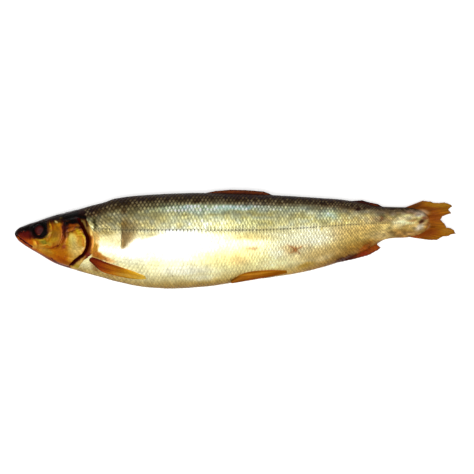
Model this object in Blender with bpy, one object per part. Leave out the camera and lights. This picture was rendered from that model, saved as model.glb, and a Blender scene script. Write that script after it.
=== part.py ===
"""A whole smoked whitefish, lying on its right side with its left flank up.

Body, head, eyes and fins have grown together, so they are one closed solid. The sizes below are
real ones in millimetres, in the fish's own side view: x runs from the snout to the tail, y from
the belly to the back, and z from the mid plane out to the left flank. MM turns them into metres.
"""

import math

import bpy
import numpy as np

MM = 0.001

# Driving sizes
BODY_END = 338.0  # where the scaly root of the tail fin ends
NOSE_ROUNDING = 4.5  # length over which the snout rounds off
TAIL_ROUNDING = 5.0  # the same at the end of the tail root
GILL_X = 59.4  # hind edge of the gill cover
EYE_X, EYE_Y = 20.9, 2.8
EYE_RADIUS = 5.6
EYE_DEPTH = 3.2  # half thickness of the flattened eyeball
SOCKET_RADIUS = 6.6
SOCKET_DEPTH = 1.2
GILL_LIFT = 0.9  # how far the gill cover stands proud
GILL_SLIT = 1.5  # how deep the dark gap behind it is
MOUTH_DEPTH = 1.3  # groove between the jaws
CHEEK_DEPTH = 0.7  # groove along the edge of the cheek bones
FIN_ROOT_DEPTH = 3.0  # how far an upright fin's root reaches into the body
FIN_SINK = 2.4  # how deep the root of a paired fin is sunk in the flank

# The body, section by section:
# x, back, belly, half width, height of the mid plane above the table
STATIONS = (
    (0.0, 3.6, -3.4, 3.0, 12.0),  # snout, before it is rounded off
    (9.5, 7.4, -10.0, 6.0, 12.4),  # nostril
    (21.0, 11.3, -16.8, 9.0, 13.0),  # eye
    (34.0, 15.6, -24.2, 11.6, 13.6),  # cheek
    (48.5, 19.2, -28.9, 13.2, 14.2),  # gill cover
    (62.0, 22.6, -32.7, 14.0, 14.5),  # gill opening
    (73.0, 25.4, -35.7, 14.9, 14.8),  # nape
    (82.0, 28.5, -38.4, 15.7, 15.2),  # shoulder
    (107.0, 31.6, -43.1, 17.4, 16.5),  # end of the pectoral fins
    (126.0, 32.5, -44.2, 18.1, 17.1),  # deepest section
    (151.0, 33.2, -42.9, 18.2, 17.2),  # start of the dorsal fin
    (190.0, 32.2, -37.6, 17.2, 16.3),  # pelvic fins
    (224.0, 30.9, -32.7, 15.2, 14.7),
    (245.0, 29.5, -28.5, 13.3, 13.7),
    (262.0, 28.3, -23.5, 11.6, 13.0),  # start of the anal fin
    (280.0, 25.7, -16.0, 9.6, 12.2),  # adipose fin
    (294.0, 22.9, -8.4, 8.0, 11.7),
    (302.0, 22.0, -4.3, 7.1, 11.3),
    (309.0, 21.8, -3.2, 6.3, 11.0),  # narrowest part of the tail root
    (318.0, 21.6, -2.8, 5.2, 10.7),
    (330.0, 19.6, 0.0, 2.8, 10.2),
    (338.0, 16.6, 3.6, 1.2, 9.8),  # end of the tail root
    (360.0, 16.6, 3.6, 1.2, 8.6),  # tip of the tail fin
)

# The hind edge of the gill cover, as x beside GILL_X for each height, from throat (-1) to nape (1)
GILL_EDGE = (
    (-1.0, -16.5), (-0.8, -13.0), (-0.64, -9.5), (-0.52, -5.4), (-0.37, -2.0), (-0.2, -0.3), (-0.07, 0.0),
    (0.13, -1.6), (0.34, -4.2), (0.6, -7.2), (1.0, -9.5),
)
GILL_FROM, GILL_TO = -0.93, 0.66  # heights between which the slit is open

# Lines on the head, as x, y points in the side view
MOUTH = ((-2.0, 0.6), (1.3, -0.8), (6.7, -5.2), (11.9, -9.0), (14.5, -10.4))
CHEEK_EDGE = ((21.0, -12.4), (31.0, -12.2), (37.5, -9.5), (40.5, -3.0), (41.0, 8.5))

# Fin outlines in the side view. An upright fin goes from ROOT to TIP, ray by ray, front to back
# or top to bottom. A paired fin lies on the flank between UPPER and LOWER, from root to tip.
TAIL_ROOT = ((315.0, 20.6), (321.0, 15.4), (324.0, 9.4), (321.0, 4.0), (314.0, -0.9))
TAIL_TIP = (
    (333.4, 27.6), (336.9, 26.8), (339.2, 26.7), (341.2, 25.6), (346.1, 25.4), (350.8, 26.0),
    (354.6, 24.9), (357.8, 23.1), (354.4, 20.4), (355.4, 18.4), (357.0, 17.1), (352.8, 15.9),
    (348.8, 14.4), (347.5, 11.6), (350.8, 8.0), (351.9, 5.3), (355.3, 4.9), (358.6, 3.3),
    (360.0, 0.2), (356.0, -0.3), (353.3, -1.9), (349.8, -2.1), (346.9, -3.6), (344.8, -5.0),
    (340.3, -5.2), (334.4, -4.5), (326.1, -3.3),
)
DORSAL_ROOT_X = (154.0, 197.0)
DORSAL_TIP = (
    (156.0, 33.6), (163.7, 35.2), (175.3, 36.1), (188.3, 35.8), (203.0, 34.7), (207.3, 33.1),
    (210.2, 31.5),
)
ADIPOSE_ROOT_X = (274.0, 291.0)
ADIPOSE_TIP = ((274.2, 27.1), (282.9, 27.7), (288.3, 26.2), (295.5, 24.6), (299.4, 22.5))
ANAL_ROOT_X = (260.0, 294.0)
ANAL_TIP = (
    (261.0, -24.0), (273.5, -21.4), (282.2, -19.1), (290.3, -16.7), (295.9, -13.3), (298.6, -11.3),
    (295.6, -9.0), (296.8, -6.6),
)
PECTORAL_UPPER = ((62.0, -18.6), (67.0, -19.8), (76.2, -23.4), (87.8, -26.9), (97.8, -30.3), (107.4, -34.2))
PECTORAL_LOWER = ((61.0, -22.2), (69.6, -30.3), (79.5, -32.8), (92.0, -35.7), (102.8, -36.6), (107.8, -36.2))
PELVIC_UPPER = ((176.0, -36.4), (184.0, -32.0), (194.0, -29.8), (207.0, -29.2), (221.5, -29.4))
PELVIC_LOWER = ((176.0, -38.9), (184.0, -38.2), (194.0, -36.7), (207.0, -34.4), (221.7, -31.4))

# How finely the body is cut up: places of the sections along it, and points round each
SEGMENTS_ROUND = 40
NOSE_SECTIONS = (0.25, 0.9, 2.0, 3.4)
HEAD_STEP, HEAD_STEPS = 1.65, 32
GILL_SECTIONS = (58.2, 59.3, 59.5, 61.8, 63.6, 66.6)
TRUNK_SECTIONS = 38
TAIL_SECTIONS = (331.0, 334.0, 336.4, 337.6)

COLOURS = {  # linear RGB, roughness, metallic value
    "back": ((0.045, 0.030, 0.018), 0.45, 0.0),
    "flank": ((0.72, 0.66, 0.42), 0.35, 0.35),
    "head": ((0.42, 0.20, 0.035), 0.35, 0.0),
    "fin": ((0.36, 0.13, 0.02), 0.45, 0.0),
    "eye": ((0.045, 0.008, 0.005), 0.15, 0.0),
}


def smooth_curve(x, points_x, points_y):
    """A curve through the points that never overshoots between them (monotone cubic)."""
    points_x, points_y = np.asarray(points_x, float), np.asarray(points_y, float)
    width = np.diff(points_x)
    slope = np.diff(points_y) / width
    tangent = np.concatenate([slope[:1], (slope[1:] + slope[:-1]) / 2, slope[-1:]])
    for i in range(1, len(slope)):
        a, b = slope[i - 1], slope[i]
        tangent[i] = 2 * a * b / (a + b) if a * b > 0 else 0.0
    x = np.clip(np.asarray(x, float), points_x[0], points_x[-1])
    i = np.clip(np.searchsorted(points_x, x, side="right") - 1, 0, len(width) - 1)
    t = (x - points_x[i]) / width[i]
    return (
        points_y[i] * (1 + 2 * t) * (1 - t) ** 2
        + points_y[i + 1] * t**2 * (3 - 2 * t)
        + width[i] * tangent[i] * t * (1 - t) ** 2
        + width[i] * tangent[i + 1] * t**2 * (t - 1)
    )


def smooth_step(x, low, high):
    """0 below low, 1 above high, and an even S between."""
    t = np.clip((np.asarray(x, float) - low) / (high - low), 0, 1)
    return t * t * (3 - 2 * t)


def station(x, column):
    """One column of STATIONS at x."""
    table = np.array(STATIONS)
    return smooth_curve(x, table[:, 0], table[:, column])


def back(x):
    """Height of the back at x."""
    return station(x, 1)


def belly(x):
    """Height of the belly at x."""
    return station(x, 2)


def rest_height(x):
    """Height of the mid plane above the table at x."""
    return station(x, 4)


def section(x):
    """(mid height, half depth above it, half depth below it, half width) of the body at x."""
    top, bottom, half_width = back(x), belly(x), station(x, 3)
    mid = (top + bottom) / 2 + 0.04 * (top - bottom)
    nose = np.sqrt(1 - np.clip(1 - x / NOSE_ROUNDING, 0, 1) ** 2)
    tail = np.sqrt(1 - np.clip((x - BODY_END) / TAIL_ROUNDING + 1, 0, 1) ** 2)
    share = nose * tail
    return mid, (top - mid) * share, (mid - bottom) * share, half_width * share


def fullness(x):
    """How boxy a section is: the head is squarer than the trunk, and the tail root is a plain oval."""
    return 0.80 + 0.12 * smooth_step(x, 30, 90) + 0.08 * smooth_step(x, 230, 310)


def gill_shift(height):
    """x of the gill cover's hind edge beside GILL_X, at a height from -1 to 1."""
    heights, shifts = zip(*GILL_EDGE)
    return smooth_curve(height, heights, shifts)


def section_place(u, height):
    """x of section u at a height: the sections bend to run along the gill cover's edge."""
    pull = np.where(u < GILL_X, smooth_step(u, 16, GILL_X), 1 - smooth_step(u, GILL_X, 112))
    return u + pull * gill_shift(height)


def distance_to(line, x, y):
    """Distance in the side view from each point to a line of x, y points."""
    line = np.array(line, float)
    nearest = np.full(np.shape(x), np.inf)
    for (ax, ay), (bx, by) in zip(line[:-1], line[1:]):
        run, rise = bx - ax, by - ay
        t = np.clip(((x - ax) * run + (y - ay) * rise) / (run**2 + rise**2), 0, 1)
        nearest = np.minimum(nearest, np.hypot(x - ax - t * run, y - ay - t * rise))
    return nearest


def relief(u, height, x, y):
    """How far the surface stands out sideways: gill cover, its slit, eye socket, mouth and cheek."""
    open_part = smooth_step(height, GILL_FROM - 0.07, GILL_FROM)
    open_part = open_part * (1 - smooth_step(height, GILL_TO, GILL_TO + 0.14))
    cover = GILL_LIFT * smooth_step(u, 40, GILL_X) * (u < GILL_X)
    slit = -GILL_SLIT * (1 - smooth_step(u, GILL_X + 1.8, GILL_X + 5)) * (u > GILL_X)
    from_eye = np.hypot(x - EYE_X, y - EYE_Y)
    socket = -SOCKET_DEPTH * (1 - smooth_step(from_eye, EYE_RADIUS - 1, SOCKET_RADIUS + 1))
    mouth = -MOUTH_DEPTH * np.exp(-((distance_to(MOUTH, x, y) / 1.3) ** 2))
    cheek = -CHEEK_DEPTH * np.exp(-((distance_to(CHEEK_EDGE, x, y) / 1.3) ** 2))
    return open_part * (cover + slit) + socket + mouth + cheek


def body_points(u, angle):
    """Points on the body's skin, for section u and an angle round it (0 at the back, then left)."""
    height, side = np.cos(angle), np.sin(angle)
    x = section_place(u, height)
    mid, above, below, half_width = section(x)
    y = mid + height * np.where(height > 0, above, below)
    z = np.sign(side) * np.abs(side) ** fullness(x) * half_width
    z = z + side * np.abs(side) ** 0.5 * relief(u, height, x, y) * smooth_step(half_width, 1, 6)
    return np.stack([x, y, z], axis=-1)


def skin_height(x, y):
    """z of the plain left flank at a point of the side view."""
    mid, above, below, half_width = section(x)
    height = np.clip((y - mid) / np.where(y > mid, above, below), -0.999, 0.999)
    return half_width * (1 - height**2) ** (fullness(x) / 2)


def flank_normal(x, y):
    """Outward direction of the left flank in a cross-section, as y and z parts."""
    step = 0.2
    slope = (skin_height(x, y + step) - skin_height(x, y - step)) / (2 * step)
    length = np.hypot(slope, 1)
    return -slope / length, 1 / length


def lay_down(points):
    """Raises points of the fish so that its mid plane lies at its rest height above the table."""
    placed = np.array(points, float)
    placed[..., 2] += rest_height(placed[..., 0])
    return placed


def material(name):
    """The Principled material of that name, made once."""
    if name in bpy.data.materials:
        return bpy.data.materials[name]
    made = bpy.data.materials.new(name)
    made.use_nodes = True
    shader = made.node_tree.nodes["Principled BSDF"]
    colour, roughness, metallic = COLOURS[name]
    shader.inputs["Base Color"].default_value = (*colour, 1)
    shader.inputs["Roughness"].default_value = roughness
    shader.inputs["Metallic"].default_value = metallic
    made.diffuse_color = (*colour, 1)
    return made


def mesh_object(name, points, faces, *materials):
    """An object from points in millimetres and faces that face outwards."""
    mesh = bpy.data.meshes.new(name)
    mesh.from_pydata((np.asarray(points) * MM).tolist(), [], faces)
    mesh.validate()
    mesh.update()
    for each in materials:
        mesh.materials.append(material(each))
    made = bpy.data.objects.new(name, mesh)
    bpy.context.scene.collection.objects.link(made)
    return made


def body_sections():
    """Places of the sections from the nose to the tail root."""
    head = [NOSE_SECTIONS[-1] + HEAD_STEP * (i + 1) for i in range(HEAD_STEPS)]
    trunk = np.linspace(GILL_SECTIONS[-1], TAIL_SECTIONS[0], TRUNK_SECTIONS + 1)[1:-1]
    return [*NOSE_SECTIONS, *head, *GILL_SECTIONS, *trunk, *TAIL_SECTIONS]


def make_body():
    """The body and head without eyes and fins, as a closed loft."""
    sections = body_sections()
    angles = np.arange(SEGMENTS_ROUND) * 2 * math.pi / SEGMENTS_ROUND
    u, angle = np.meshgrid(sections, angles, indexing="ij")
    rings = body_points(u, angle).reshape(-1, 3)
    ends = body_points(np.array([0.0, BODY_END]), np.array([math.pi / 2, math.pi / 2]))
    nose, tail = len(rings), len(rings) + 1
    last = (len(sections) - 1) * SEGMENTS_ROUND
    faces = []
    for k in range(SEGMENTS_ROUND):
        after = (k + 1) % SEGMENTS_ROUND
        faces.append((nose, after, k))
        faces.append((tail, last + k, last + after))
        for row in range(0, last, SEGMENTS_ROUND):
            faces.append((row + k, row + after, row + SEGMENTS_ROUND + after, row + SEGMENTS_ROUND + k))
    body = mesh_object("fish", lay_down(np.vstack([rings, ends])), faces, "flank", "back", "head")
    paint_body(body)
    return body


def paint_body(body):
    """Gives the dark back and the golden head their own material slots."""
    for face in body.data.polygons:
        x, y, _ = (value / MM for value in face.center)
        mid, above, below, _ = (float(value) for value in section(np.array(x)))
        height = (y - mid) / max(above if y > mid else below, 0.1)
        if height > 0.62:
            face.material_index = 1
        elif x < GILL_X + float(gill_shift(height)):
            face.material_index = 2


def make_eye(name, side):
    """An eyeball, flattened and sunk in its socket, on the side given by 1 or -1."""
    bpy.ops.mesh.primitive_uv_sphere_add(segments=20, ring_count=10)
    eye = bpy.context.object
    eye.name = eye.data.name = name
    surface = float(skin_height(np.array(EYE_X), np.array(EYE_Y)))
    centre = np.array([EYE_X, EYE_Y, side * (surface - EYE_DEPTH + 0.3)])
    centre[2] += float(rest_height(EYE_X))
    eye.scale = (EYE_RADIUS * MM, EYE_RADIUS * MM, EYE_DEPTH * MM)
    eye.location = centre * MM
    bpy.ops.object.transform_apply(location=True, rotation=True, scale=True)
    eye.data.materials.append(material("eye"))
    return eye


def along(line, v):
    """Points at shares v of a line's length."""
    line = np.array(line, float)
    run = np.concatenate([[0], np.cumsum(np.hypot(*np.diff(line, axis=0).T))])
    return np.stack([np.interp(v, run / run[-1], line[:, i]) for i in (0, 1)], axis=-1)


def sheet_solid(name, front, rear):
    """A closed plate between two grids of points that lie opposite each other."""
    rows, columns = front.shape[:2]
    count = rows * columns
    faces = []
    for i in range(rows - 1):
        for j in range(columns - 1):
            a, b = i * columns + j, i * columns + j + 1
            c, d = a + columns, b + columns
            faces += [(a, c, d), (a, d, b)]
            faces += [(count + a, count + d, count + c), (count + a, count + b, count + d)]
    rim = list(range(columns))
    rim += [i * columns + columns - 1 for i in range(1, rows)]
    rim += [(rows - 1) * columns + j for j in range(columns - 2, -1, -1)]
    rim += [i * columns for i in range(rows - 2, 0, -1)]
    for a, b in zip(rim, rim[1:] + rim[:1]):
        faces += [(a, b, count + b), (a, count + b, count + a)]
    return mesh_object(name, np.vstack([front.reshape(-1, 3), rear.reshape(-1, 3)]), faces, "fin")


def ray_grid(rays, steps):
    """u from root to tip and v across the fin, with one column on each ray and one between two."""
    return np.meshgrid(np.linspace(0, 1, steps + 1), np.linspace(0, 1, 2 * rays - 1), indexing="ij")


def ray_profile(u, root, tip):
    """How far a fin's rays stand out: more at the root than at the tip, and less between them."""
    between_rays = np.arange(u.shape[1]) % 2 == 1
    return (tip + (root - tip) * (1 - u) ** 1.5) * np.where(between_rays, 0.6, 1.0)


def make_upright_fin(name, root, tip, rays, steps, root_half, tip_half, wave=0.0):
    """A fin in the mid plane, with rays from the root line to the tip line."""
    u, v = ray_grid(rays, steps)
    side_view = along(root, v) * (1 - u[..., None]) + along(tip, v) * u[..., None]
    x, y = side_view[..., 0], side_view[..., 1]
    middle = wave * u * np.sin(2 * math.pi * v)
    half = ray_profile(u, root_half, tip_half)
    front, rear = (lay_down(np.stack([x, y, middle + half * way], axis=-1)) for way in (1, -1))
    return sheet_solid(name, front, rear)


def make_back_fin(name, root_x, tip, rays, steps, half):
    """A folded fin that stands on the back or, if its tip is below it, hangs under the belly."""
    x = np.linspace(*root_x, rays)
    above = tip[0][1] > 0
    root_y = back(x) - FIN_ROOT_DEPTH if above else belly(x) + FIN_ROOT_DEPTH
    return make_upright_fin(name, np.stack([x, root_y], axis=-1), tip, rays, steps, half, 0.4)


def make_paired_fin(name, upper, lower, side, rays, steps):
    """A fin folded back against the flank on the side given by 1 or -1."""
    u, v = ray_grid(rays, steps)
    side_view = along(upper, u) * (1 - v[..., None]) + along(lower, u) * v[..., None]
    x, y = side_view[..., 0], side_view[..., 1]
    y = np.maximum(y, belly(x) + 0.4)
    normal_y, normal_z = flank_normal(x, y)
    layers = []
    for out in (ray_profile(u, 1.3, 0.8), -FIN_SINK * (1 - 0.4 * u)):
        z = side * (skin_height(x, y) + out * normal_z)
        layers.append(lay_down(np.stack([x, y + out * normal_y, z], axis=-1)))
    return sheet_solid(name, *layers)


def make_fins():
    """All fins: tail, dorsal, adipose, anal, and the pectoral and pelvic pairs."""
    fins = [
        make_upright_fin("tail_fin", TAIL_ROOT, TAIL_TIP, 25, 5, 1.1, 0.45, wave=0.8),
        make_back_fin("dorsal_fin", DORSAL_ROOT_X, DORSAL_TIP, 9, 3, 1.3),
        make_back_fin("adipose_fin", ADIPOSE_ROOT_X, ADIPOSE_TIP, 5, 3, 1.2),
        make_back_fin("anal_fin", ANAL_ROOT_X, ANAL_TIP, 11, 3, 1.2),
    ]
    for side, name in ((1, "left"), (-1, "right")):
        fins.append(make_paired_fin(f"pectoral_fin_{name}", PECTORAL_UPPER, PECTORAL_LOWER, side, 7, 8))
        fins.append(make_paired_fin(f"pelvic_fin_{name}", PELVIC_UPPER, PELVIC_LOWER, side, 6, 7))
    return fins


def face_outwards(made):
    """Turns the faces of a closed object outwards."""
    bpy.context.view_layer.objects.active = made
    bpy.ops.object.mode_set(mode="EDIT")
    bpy.ops.mesh.select_all(action="SELECT")
    bpy.ops.mesh.normals_make_consistent(inside=False)
    bpy.ops.object.mode_set(mode="OBJECT")


def grow_together(body, grown):
    """Joins the eyes and fins to the body by one Boolean union, and removes the loose ones."""
    group = bpy.data.collections.new("grown_on")
    for each in grown:
        group.objects.link(each)
    union = body.modifiers.new("grown_on", "BOOLEAN")
    union.operation = "UNION"
    union.solver = "EXACT"
    union.operand_type = "COLLECTION"
    union.collection = group
    union.material_mode = "TRANSFER"
    bpy.context.view_layer.objects.active = body
    bpy.ops.object.modifier_apply(modifier=union.name)
    for each in grown:
        bpy.data.objects.remove(each)
    bpy.data.collections.remove(group)


def press_flat(fish):
    """Flattens the right flank where it lies on the table, at z = 0."""
    bpy.ops.mesh.primitive_cube_add(size=1, location=(BODY_END / 2 * MM, 0, -0.5))
    table = bpy.context.object
    table.name = "table_cutter"
    table.hide_render = True
    table.display_type = "WIRE"
    cut = fish.modifiers.new("press_flat", "BOOLEAN")
    cut.operation = "DIFFERENCE"
    cut.solver = "EXACT"
    cut.object = table
    bpy.context.view_layer.objects.active = fish
    bpy.ops.object.modifier_apply(modifier=cut.name)
    bpy.data.objects.remove(table)


def centre_on_table(fish):
    """Puts the middle of the fish's box over the origin. It already stands on z = 0."""
    corners = np.array([vertex.co for vertex in fish.data.vertices])
    middle = (corners.min(axis=0) + corners.max(axis=0)) / 2
    for vertex in fish.data.vertices:
        vertex.co.x -= middle[0]
        vertex.co.y -= middle[1]


def main():
    for each in list(bpy.data.objects):
        bpy.data.objects.remove(each)
    fish = make_body()
    grown = [make_eye("eye_left", 1), make_eye("eye_right", -1), *make_fins()]
    for each in (fish, *grown):
        face_outwards(each)
    grow_together(fish, grown)
    press_flat(fish)
    centre_on_table(fish)
    fish.data.shade_smooth()
    fish.data.set_sharp_from_angle(angle=math.radians(50))


main()
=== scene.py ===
"""Looks of the smoked fish: scaled flanks, head, eyes and fins, lying on a white floor.

As in the solid, sizes are in millimetres in the fish's own side view: x runs from the snout to
the tail, y from the belly to the back, and z from the mid plane out to the left flank. A height
runs from -1 at the belly to 1 at the back. to_row() turns points into metres in the row's frame.
"""

import math

import bpy
import numpy as np
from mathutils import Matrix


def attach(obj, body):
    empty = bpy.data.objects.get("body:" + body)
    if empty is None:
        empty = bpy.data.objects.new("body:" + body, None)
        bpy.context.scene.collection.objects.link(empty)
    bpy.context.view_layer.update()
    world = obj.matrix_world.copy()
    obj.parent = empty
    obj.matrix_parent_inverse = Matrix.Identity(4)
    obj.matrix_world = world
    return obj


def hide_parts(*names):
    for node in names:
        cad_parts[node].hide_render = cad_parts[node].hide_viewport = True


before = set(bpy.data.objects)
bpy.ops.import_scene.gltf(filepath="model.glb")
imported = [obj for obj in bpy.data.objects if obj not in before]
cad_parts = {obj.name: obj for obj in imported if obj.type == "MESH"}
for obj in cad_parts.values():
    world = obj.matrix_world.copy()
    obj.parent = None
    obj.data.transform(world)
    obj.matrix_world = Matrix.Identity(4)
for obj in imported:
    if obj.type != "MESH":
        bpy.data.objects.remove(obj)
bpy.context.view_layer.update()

MM = 0.001
CENTRE_X, CENTRE_Y = 179.954, -4.048  # the fish's place in the row's frame

# Sizes shared with the solid
BODY_END = 338.0
NOSE_ROUNDING = 4.5
TAIL_ROUNDING = 5.0
GILL_X = 59.4
EYE_X, EYE_Y = 20.9, 2.8
EYE_RADIUS = 5.6
EYE_DEPTH = 3.2
FIN_ROOT_DEPTH = 3.0

# x, back, belly, half width, height of the mid plane above the table
STATIONS = (
    (0, 3.6, -3.4, 3, 12),
    (9.5, 7.4, -10, 6, 12.4),
    (21, 11.3, -16.8, 9, 13),
    (34, 15.6, -24.2, 11.6, 13.6),
    (48.5, 19.2, -28.9, 13.2, 14.2),
    (62, 22.6, -32.7, 14, 14.5),
    (73, 25.4, -35.7, 14.9, 14.8),
    (82, 28.5, -38.4, 15.7, 15.2),
    (107, 31.6, -43.1, 17.4, 16.5),
    (126, 32.5, -44.2, 18.1, 17.1),
    (151, 33.2, -42.9, 18.2, 17.2),
    (190, 32.2, -37.6, 17.2, 16.3),
    (224, 30.9, -32.7, 15.2, 14.7),
    (245, 29.5, -28.5, 13.3, 13.7),
    (262, 28.3, -23.5, 11.6, 13),
    (280, 25.7, -16, 9.6, 12.2),
    (294, 22.9, -8.4, 8, 11.7),
    (302, 22, -4.3, 7.1, 11.3),
    (309, 21.8, -3.2, 6.3, 11),
    (318, 21.6, -2.8, 5.2, 10.7),
    (330, 19.6, 0, 2.8, 10.2),
    (338, 16.6, 3.6, 1.2, 9.8),
    (360, 16.6, 3.6, 1.2, 8.6),
)

# Height and x, beside GILL_X, of the gill cover's hind edge, and the heights where it is open
GILL_EDGE = (
    (-1, -16.5), (-0.8, -13), (-0.64, -9.5), (-0.52, -5.4), (-0.37, -2), (-0.2, -0.3), (-0.07, 0),
    (0.13, -1.6), (0.34, -4.2), (0.6, -7.2), (1, -9.5),
)
GILL_FROM, GILL_TO = -0.93, 0.66

MOUTH = ((-2, 0.6), (1.3, -0.8), (6.7, -5.2), (11.9, -9), (14.5, -10.4))
CHEEK_EDGE = ((21, -12.4), (31, -12.2), (37.5, -9.5), (40.5, -3), (41, 8.5))

TAIL_ROOT = ((315, 20.6), (321, 15.4), (324, 9.4), (321, 4), (314, -0.9))
TAIL_TIP = (
    (333.4, 27.6), (336.9, 26.8), (339.2, 26.7), (341.2, 25.6), (346.1, 25.4), (350.8, 26),
    (354.6, 24.9), (357.8, 23.1), (354.4, 20.4), (355.4, 18.4), (357, 17.1), (352.8, 15.9),
    (348.8, 14.4), (347.5, 11.6), (350.8, 8), (351.9, 5.3), (355.3, 4.9), (358.6, 3.3),
    (360, 0.2), (356, -0.3), (353.3, -1.9), (349.8, -2.1), (346.9, -3.6), (344.8, -5),
    (340.3, -5.2), (334.4, -4.5), (326.1, -3.3),
)
DORSAL_ROOT_X = (154, 197)
DORSAL_TIP = (
    (156, 33.6), (163.7, 35.2), (175.3, 36.1), (188.3, 35.8), (203, 34.7), (207.3, 33.1),
    (210.2, 31.5),
)
ADIPOSE_ROOT_X = (274, 291)
ADIPOSE_TIP = ((274.2, 27.1), (282.9, 27.7), (288.3, 26.2), (295.5, 24.6), (299.4, 22.5))
ANAL_ROOT_X = (260, 294)
ANAL_TIP = (
    (261, -24), (273.5, -21.4), (282.2, -19.1), (290.3, -16.7), (295.9, -13.3), (298.6, -11.3),
    (295.6, -9), (296.8, -6.6),
)
PECTORAL_UPPER = ((62, -18.6), (67, -19.8), (76.2, -23.4), (87.8, -26.9), (97.8, -30.3), (107.4, -34.2))
PECTORAL_LOWER = ((61, -22.2), (69.6, -30.3), (79.5, -32.8), (92, -35.7), (102.8, -36.6), (107.8, -36.2))
PELVIC_UPPER = ((176, -36.4), (184, -32), (194, -29.8), (207, -29.2), (221.5, -29.4))
PELVIC_LOWER = ((176, -38.9), (184, -38.2), (194, -36.7), (207, -34.4), (221.7, -31.4))

# Scales
SCALE_FROM = 65.2  # section where the scaled skin starts
SCALE_LENGTH = 2.9  # from one scale to the next along the deepest part of the trunk
SCALE_ROWS = 30  # from the back to the belly
SCALE_LIFT = 0.2  # how far a scale's free edge stands proud
POINTS_PER_ROW = 4
FAR_OFF = 9.0  # stands for a place away from the lateral line
LATERAL_LINE = (
    (64, 4.6), (90, 3.4), (190, 3.2), (225, 4.4), (250, 6), (281, 8), (338, 9.4),
)


def smooth_curve(x, points_x, points_y):
    """A curve through the points that never overshoots between them (monotone cubic)."""
    points_x, points_y = np.asarray(points_x, float), np.asarray(points_y, float)
    width = np.diff(points_x)
    slope = np.diff(points_y) / width
    tangent = np.concatenate([slope[:1], (slope[1:] + slope[:-1]) / 2, slope[-1:]])
    for i in range(1, len(slope)):
        a, b = slope[i - 1], slope[i]
        tangent[i] = 2 * a * b / (a + b) if a * b > 0 else 0.0
    x = np.clip(np.asarray(x, float), points_x[0], points_x[-1])
    i = np.clip(np.searchsorted(points_x, x, side="right") - 1, 0, len(width) - 1)
    t = (x - points_x[i]) / width[i]
    return (
        points_y[i] * (1 + 2 * t) * (1 - t) ** 2
        + points_y[i + 1] * t**2 * (3 - 2 * t)
        + width[i] * tangent[i] * t * (1 - t) ** 2
        + width[i] * tangent[i + 1] * t**2 * (t - 1)
    )


def smooth_step(x, low, high):
    """0 below low, 1 above high, and an even S between."""
    t = np.clip((np.asarray(x, float) - low) / (high - low), 0, 1)
    return t * t * (3 - 2 * t)


def station(x, column):
    """One column of STATIONS at x."""
    table = np.array(STATIONS)
    return smooth_curve(x, table[:, 0], table[:, column])


def back(x):
    """Height of the back at x."""
    return station(x, 1)


def belly(x):
    """Height of the belly at x."""
    return station(x, 2)


def section(x):
    """(mid height, half depth above it, half depth below it, half width) of the body at x."""
    top, bottom, half_width = back(x), belly(x), station(x, 3)
    mid = (top + bottom) / 2 + 0.04 * (top - bottom)
    nose = np.sqrt(1 - np.clip(1 - x / NOSE_ROUNDING, 0, 1) ** 2)
    tail = np.sqrt(1 - np.clip((x - BODY_END) / TAIL_ROUNDING + 1, 0, 1) ** 2)
    share = nose * tail
    return mid, (top - mid) * share, (mid - bottom) * share, half_width * share


def fullness(x):
    """How boxy a section is."""
    return 0.80 + 0.12 * smooth_step(x, 30, 90) + 0.08 * smooth_step(x, 230, 310)


def gill_shift(height):
    """x of the gill cover's hind edge beside GILL_X, at a height from -1 to 1."""
    heights, shifts = zip(*GILL_EDGE)
    return smooth_curve(height, heights, shifts)


def lateral_line(x):
    """Height of the lateral line at x."""
    line_x, line_y = zip(*LATERAL_LINE)
    return smooth_curve(x, line_x, line_y)


def section_place(u, height):
    """x of section u at a height: the sections bend to run along the gill cover's edge."""
    pull = np.where(u < GILL_X, smooth_step(u, 16, GILL_X), 1 - smooth_step(u, GILL_X, 112))
    return u + pull * gill_shift(height)


def distance_to(line, x, y):
    """Distance in the side view from each point to a line of x, y points."""
    line = np.array(line, float)
    nearest = np.full(np.shape(x), np.inf)
    for (ax, ay), (bx, by) in zip(line[:-1], line[1:]):
        run, rise = bx - ax, by - ay
        t = np.clip(((x - ax) * run + (y - ay) * rise) / (run**2 + rise**2), 0, 1)
        nearest = np.minimum(nearest, np.hypot(x - ax - t * run, y - ay - t * rise))
    return nearest


def height_of(x, y):
    """The height, from -1 to 1, of a point of the side view."""
    mid, above, below, _ = section(x)
    return np.clip((y - mid) / np.maximum(np.where(y > mid, above, below), 0.1), -1, 1)


def plain_skin(u, angle):
    """Points on the body without relief, for section u and an angle round it (0 at the back)."""
    height, side = np.cos(angle), np.sin(angle)
    x = section_place(u, height)
    mid, above, below, half_width = section(x)
    y = mid + height * np.where(height > 0, above, below)
    z = np.sign(side) * np.abs(side) ** fullness(x) * half_width
    return np.stack([x, y, z], axis=-1)


def skin_height(x, y):
    """z of the plain left flank at a point of the side view."""
    mid, above, below, half_width = section(x)
    height = np.clip((y - mid) / np.where(y > mid, above, below), -0.999, 0.999)
    return half_width * (1 - height**2) ** (fullness(x) / 2)


def flank_normal(x, y):
    """Outward direction of the left flank in a cross-section, as y and z parts."""
    step = 0.2
    slope = (skin_height(x, y + step) - skin_height(x, y - step)) / (2 * step)
    length = np.hypot(slope, 1)
    return -slope / length, 1 / length


def to_row(points):
    """Fish coordinates in millimetres to metres in the row's frame, with the underside pressed flat."""
    placed = np.array(points, float)
    placed[..., 2] = np.maximum(placed[..., 2] + station(placed[..., 0], 4), 0)
    placed[..., 0] -= CENTRE_X
    placed[..., 1] -= CENTRE_Y
    return placed * MM


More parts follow.
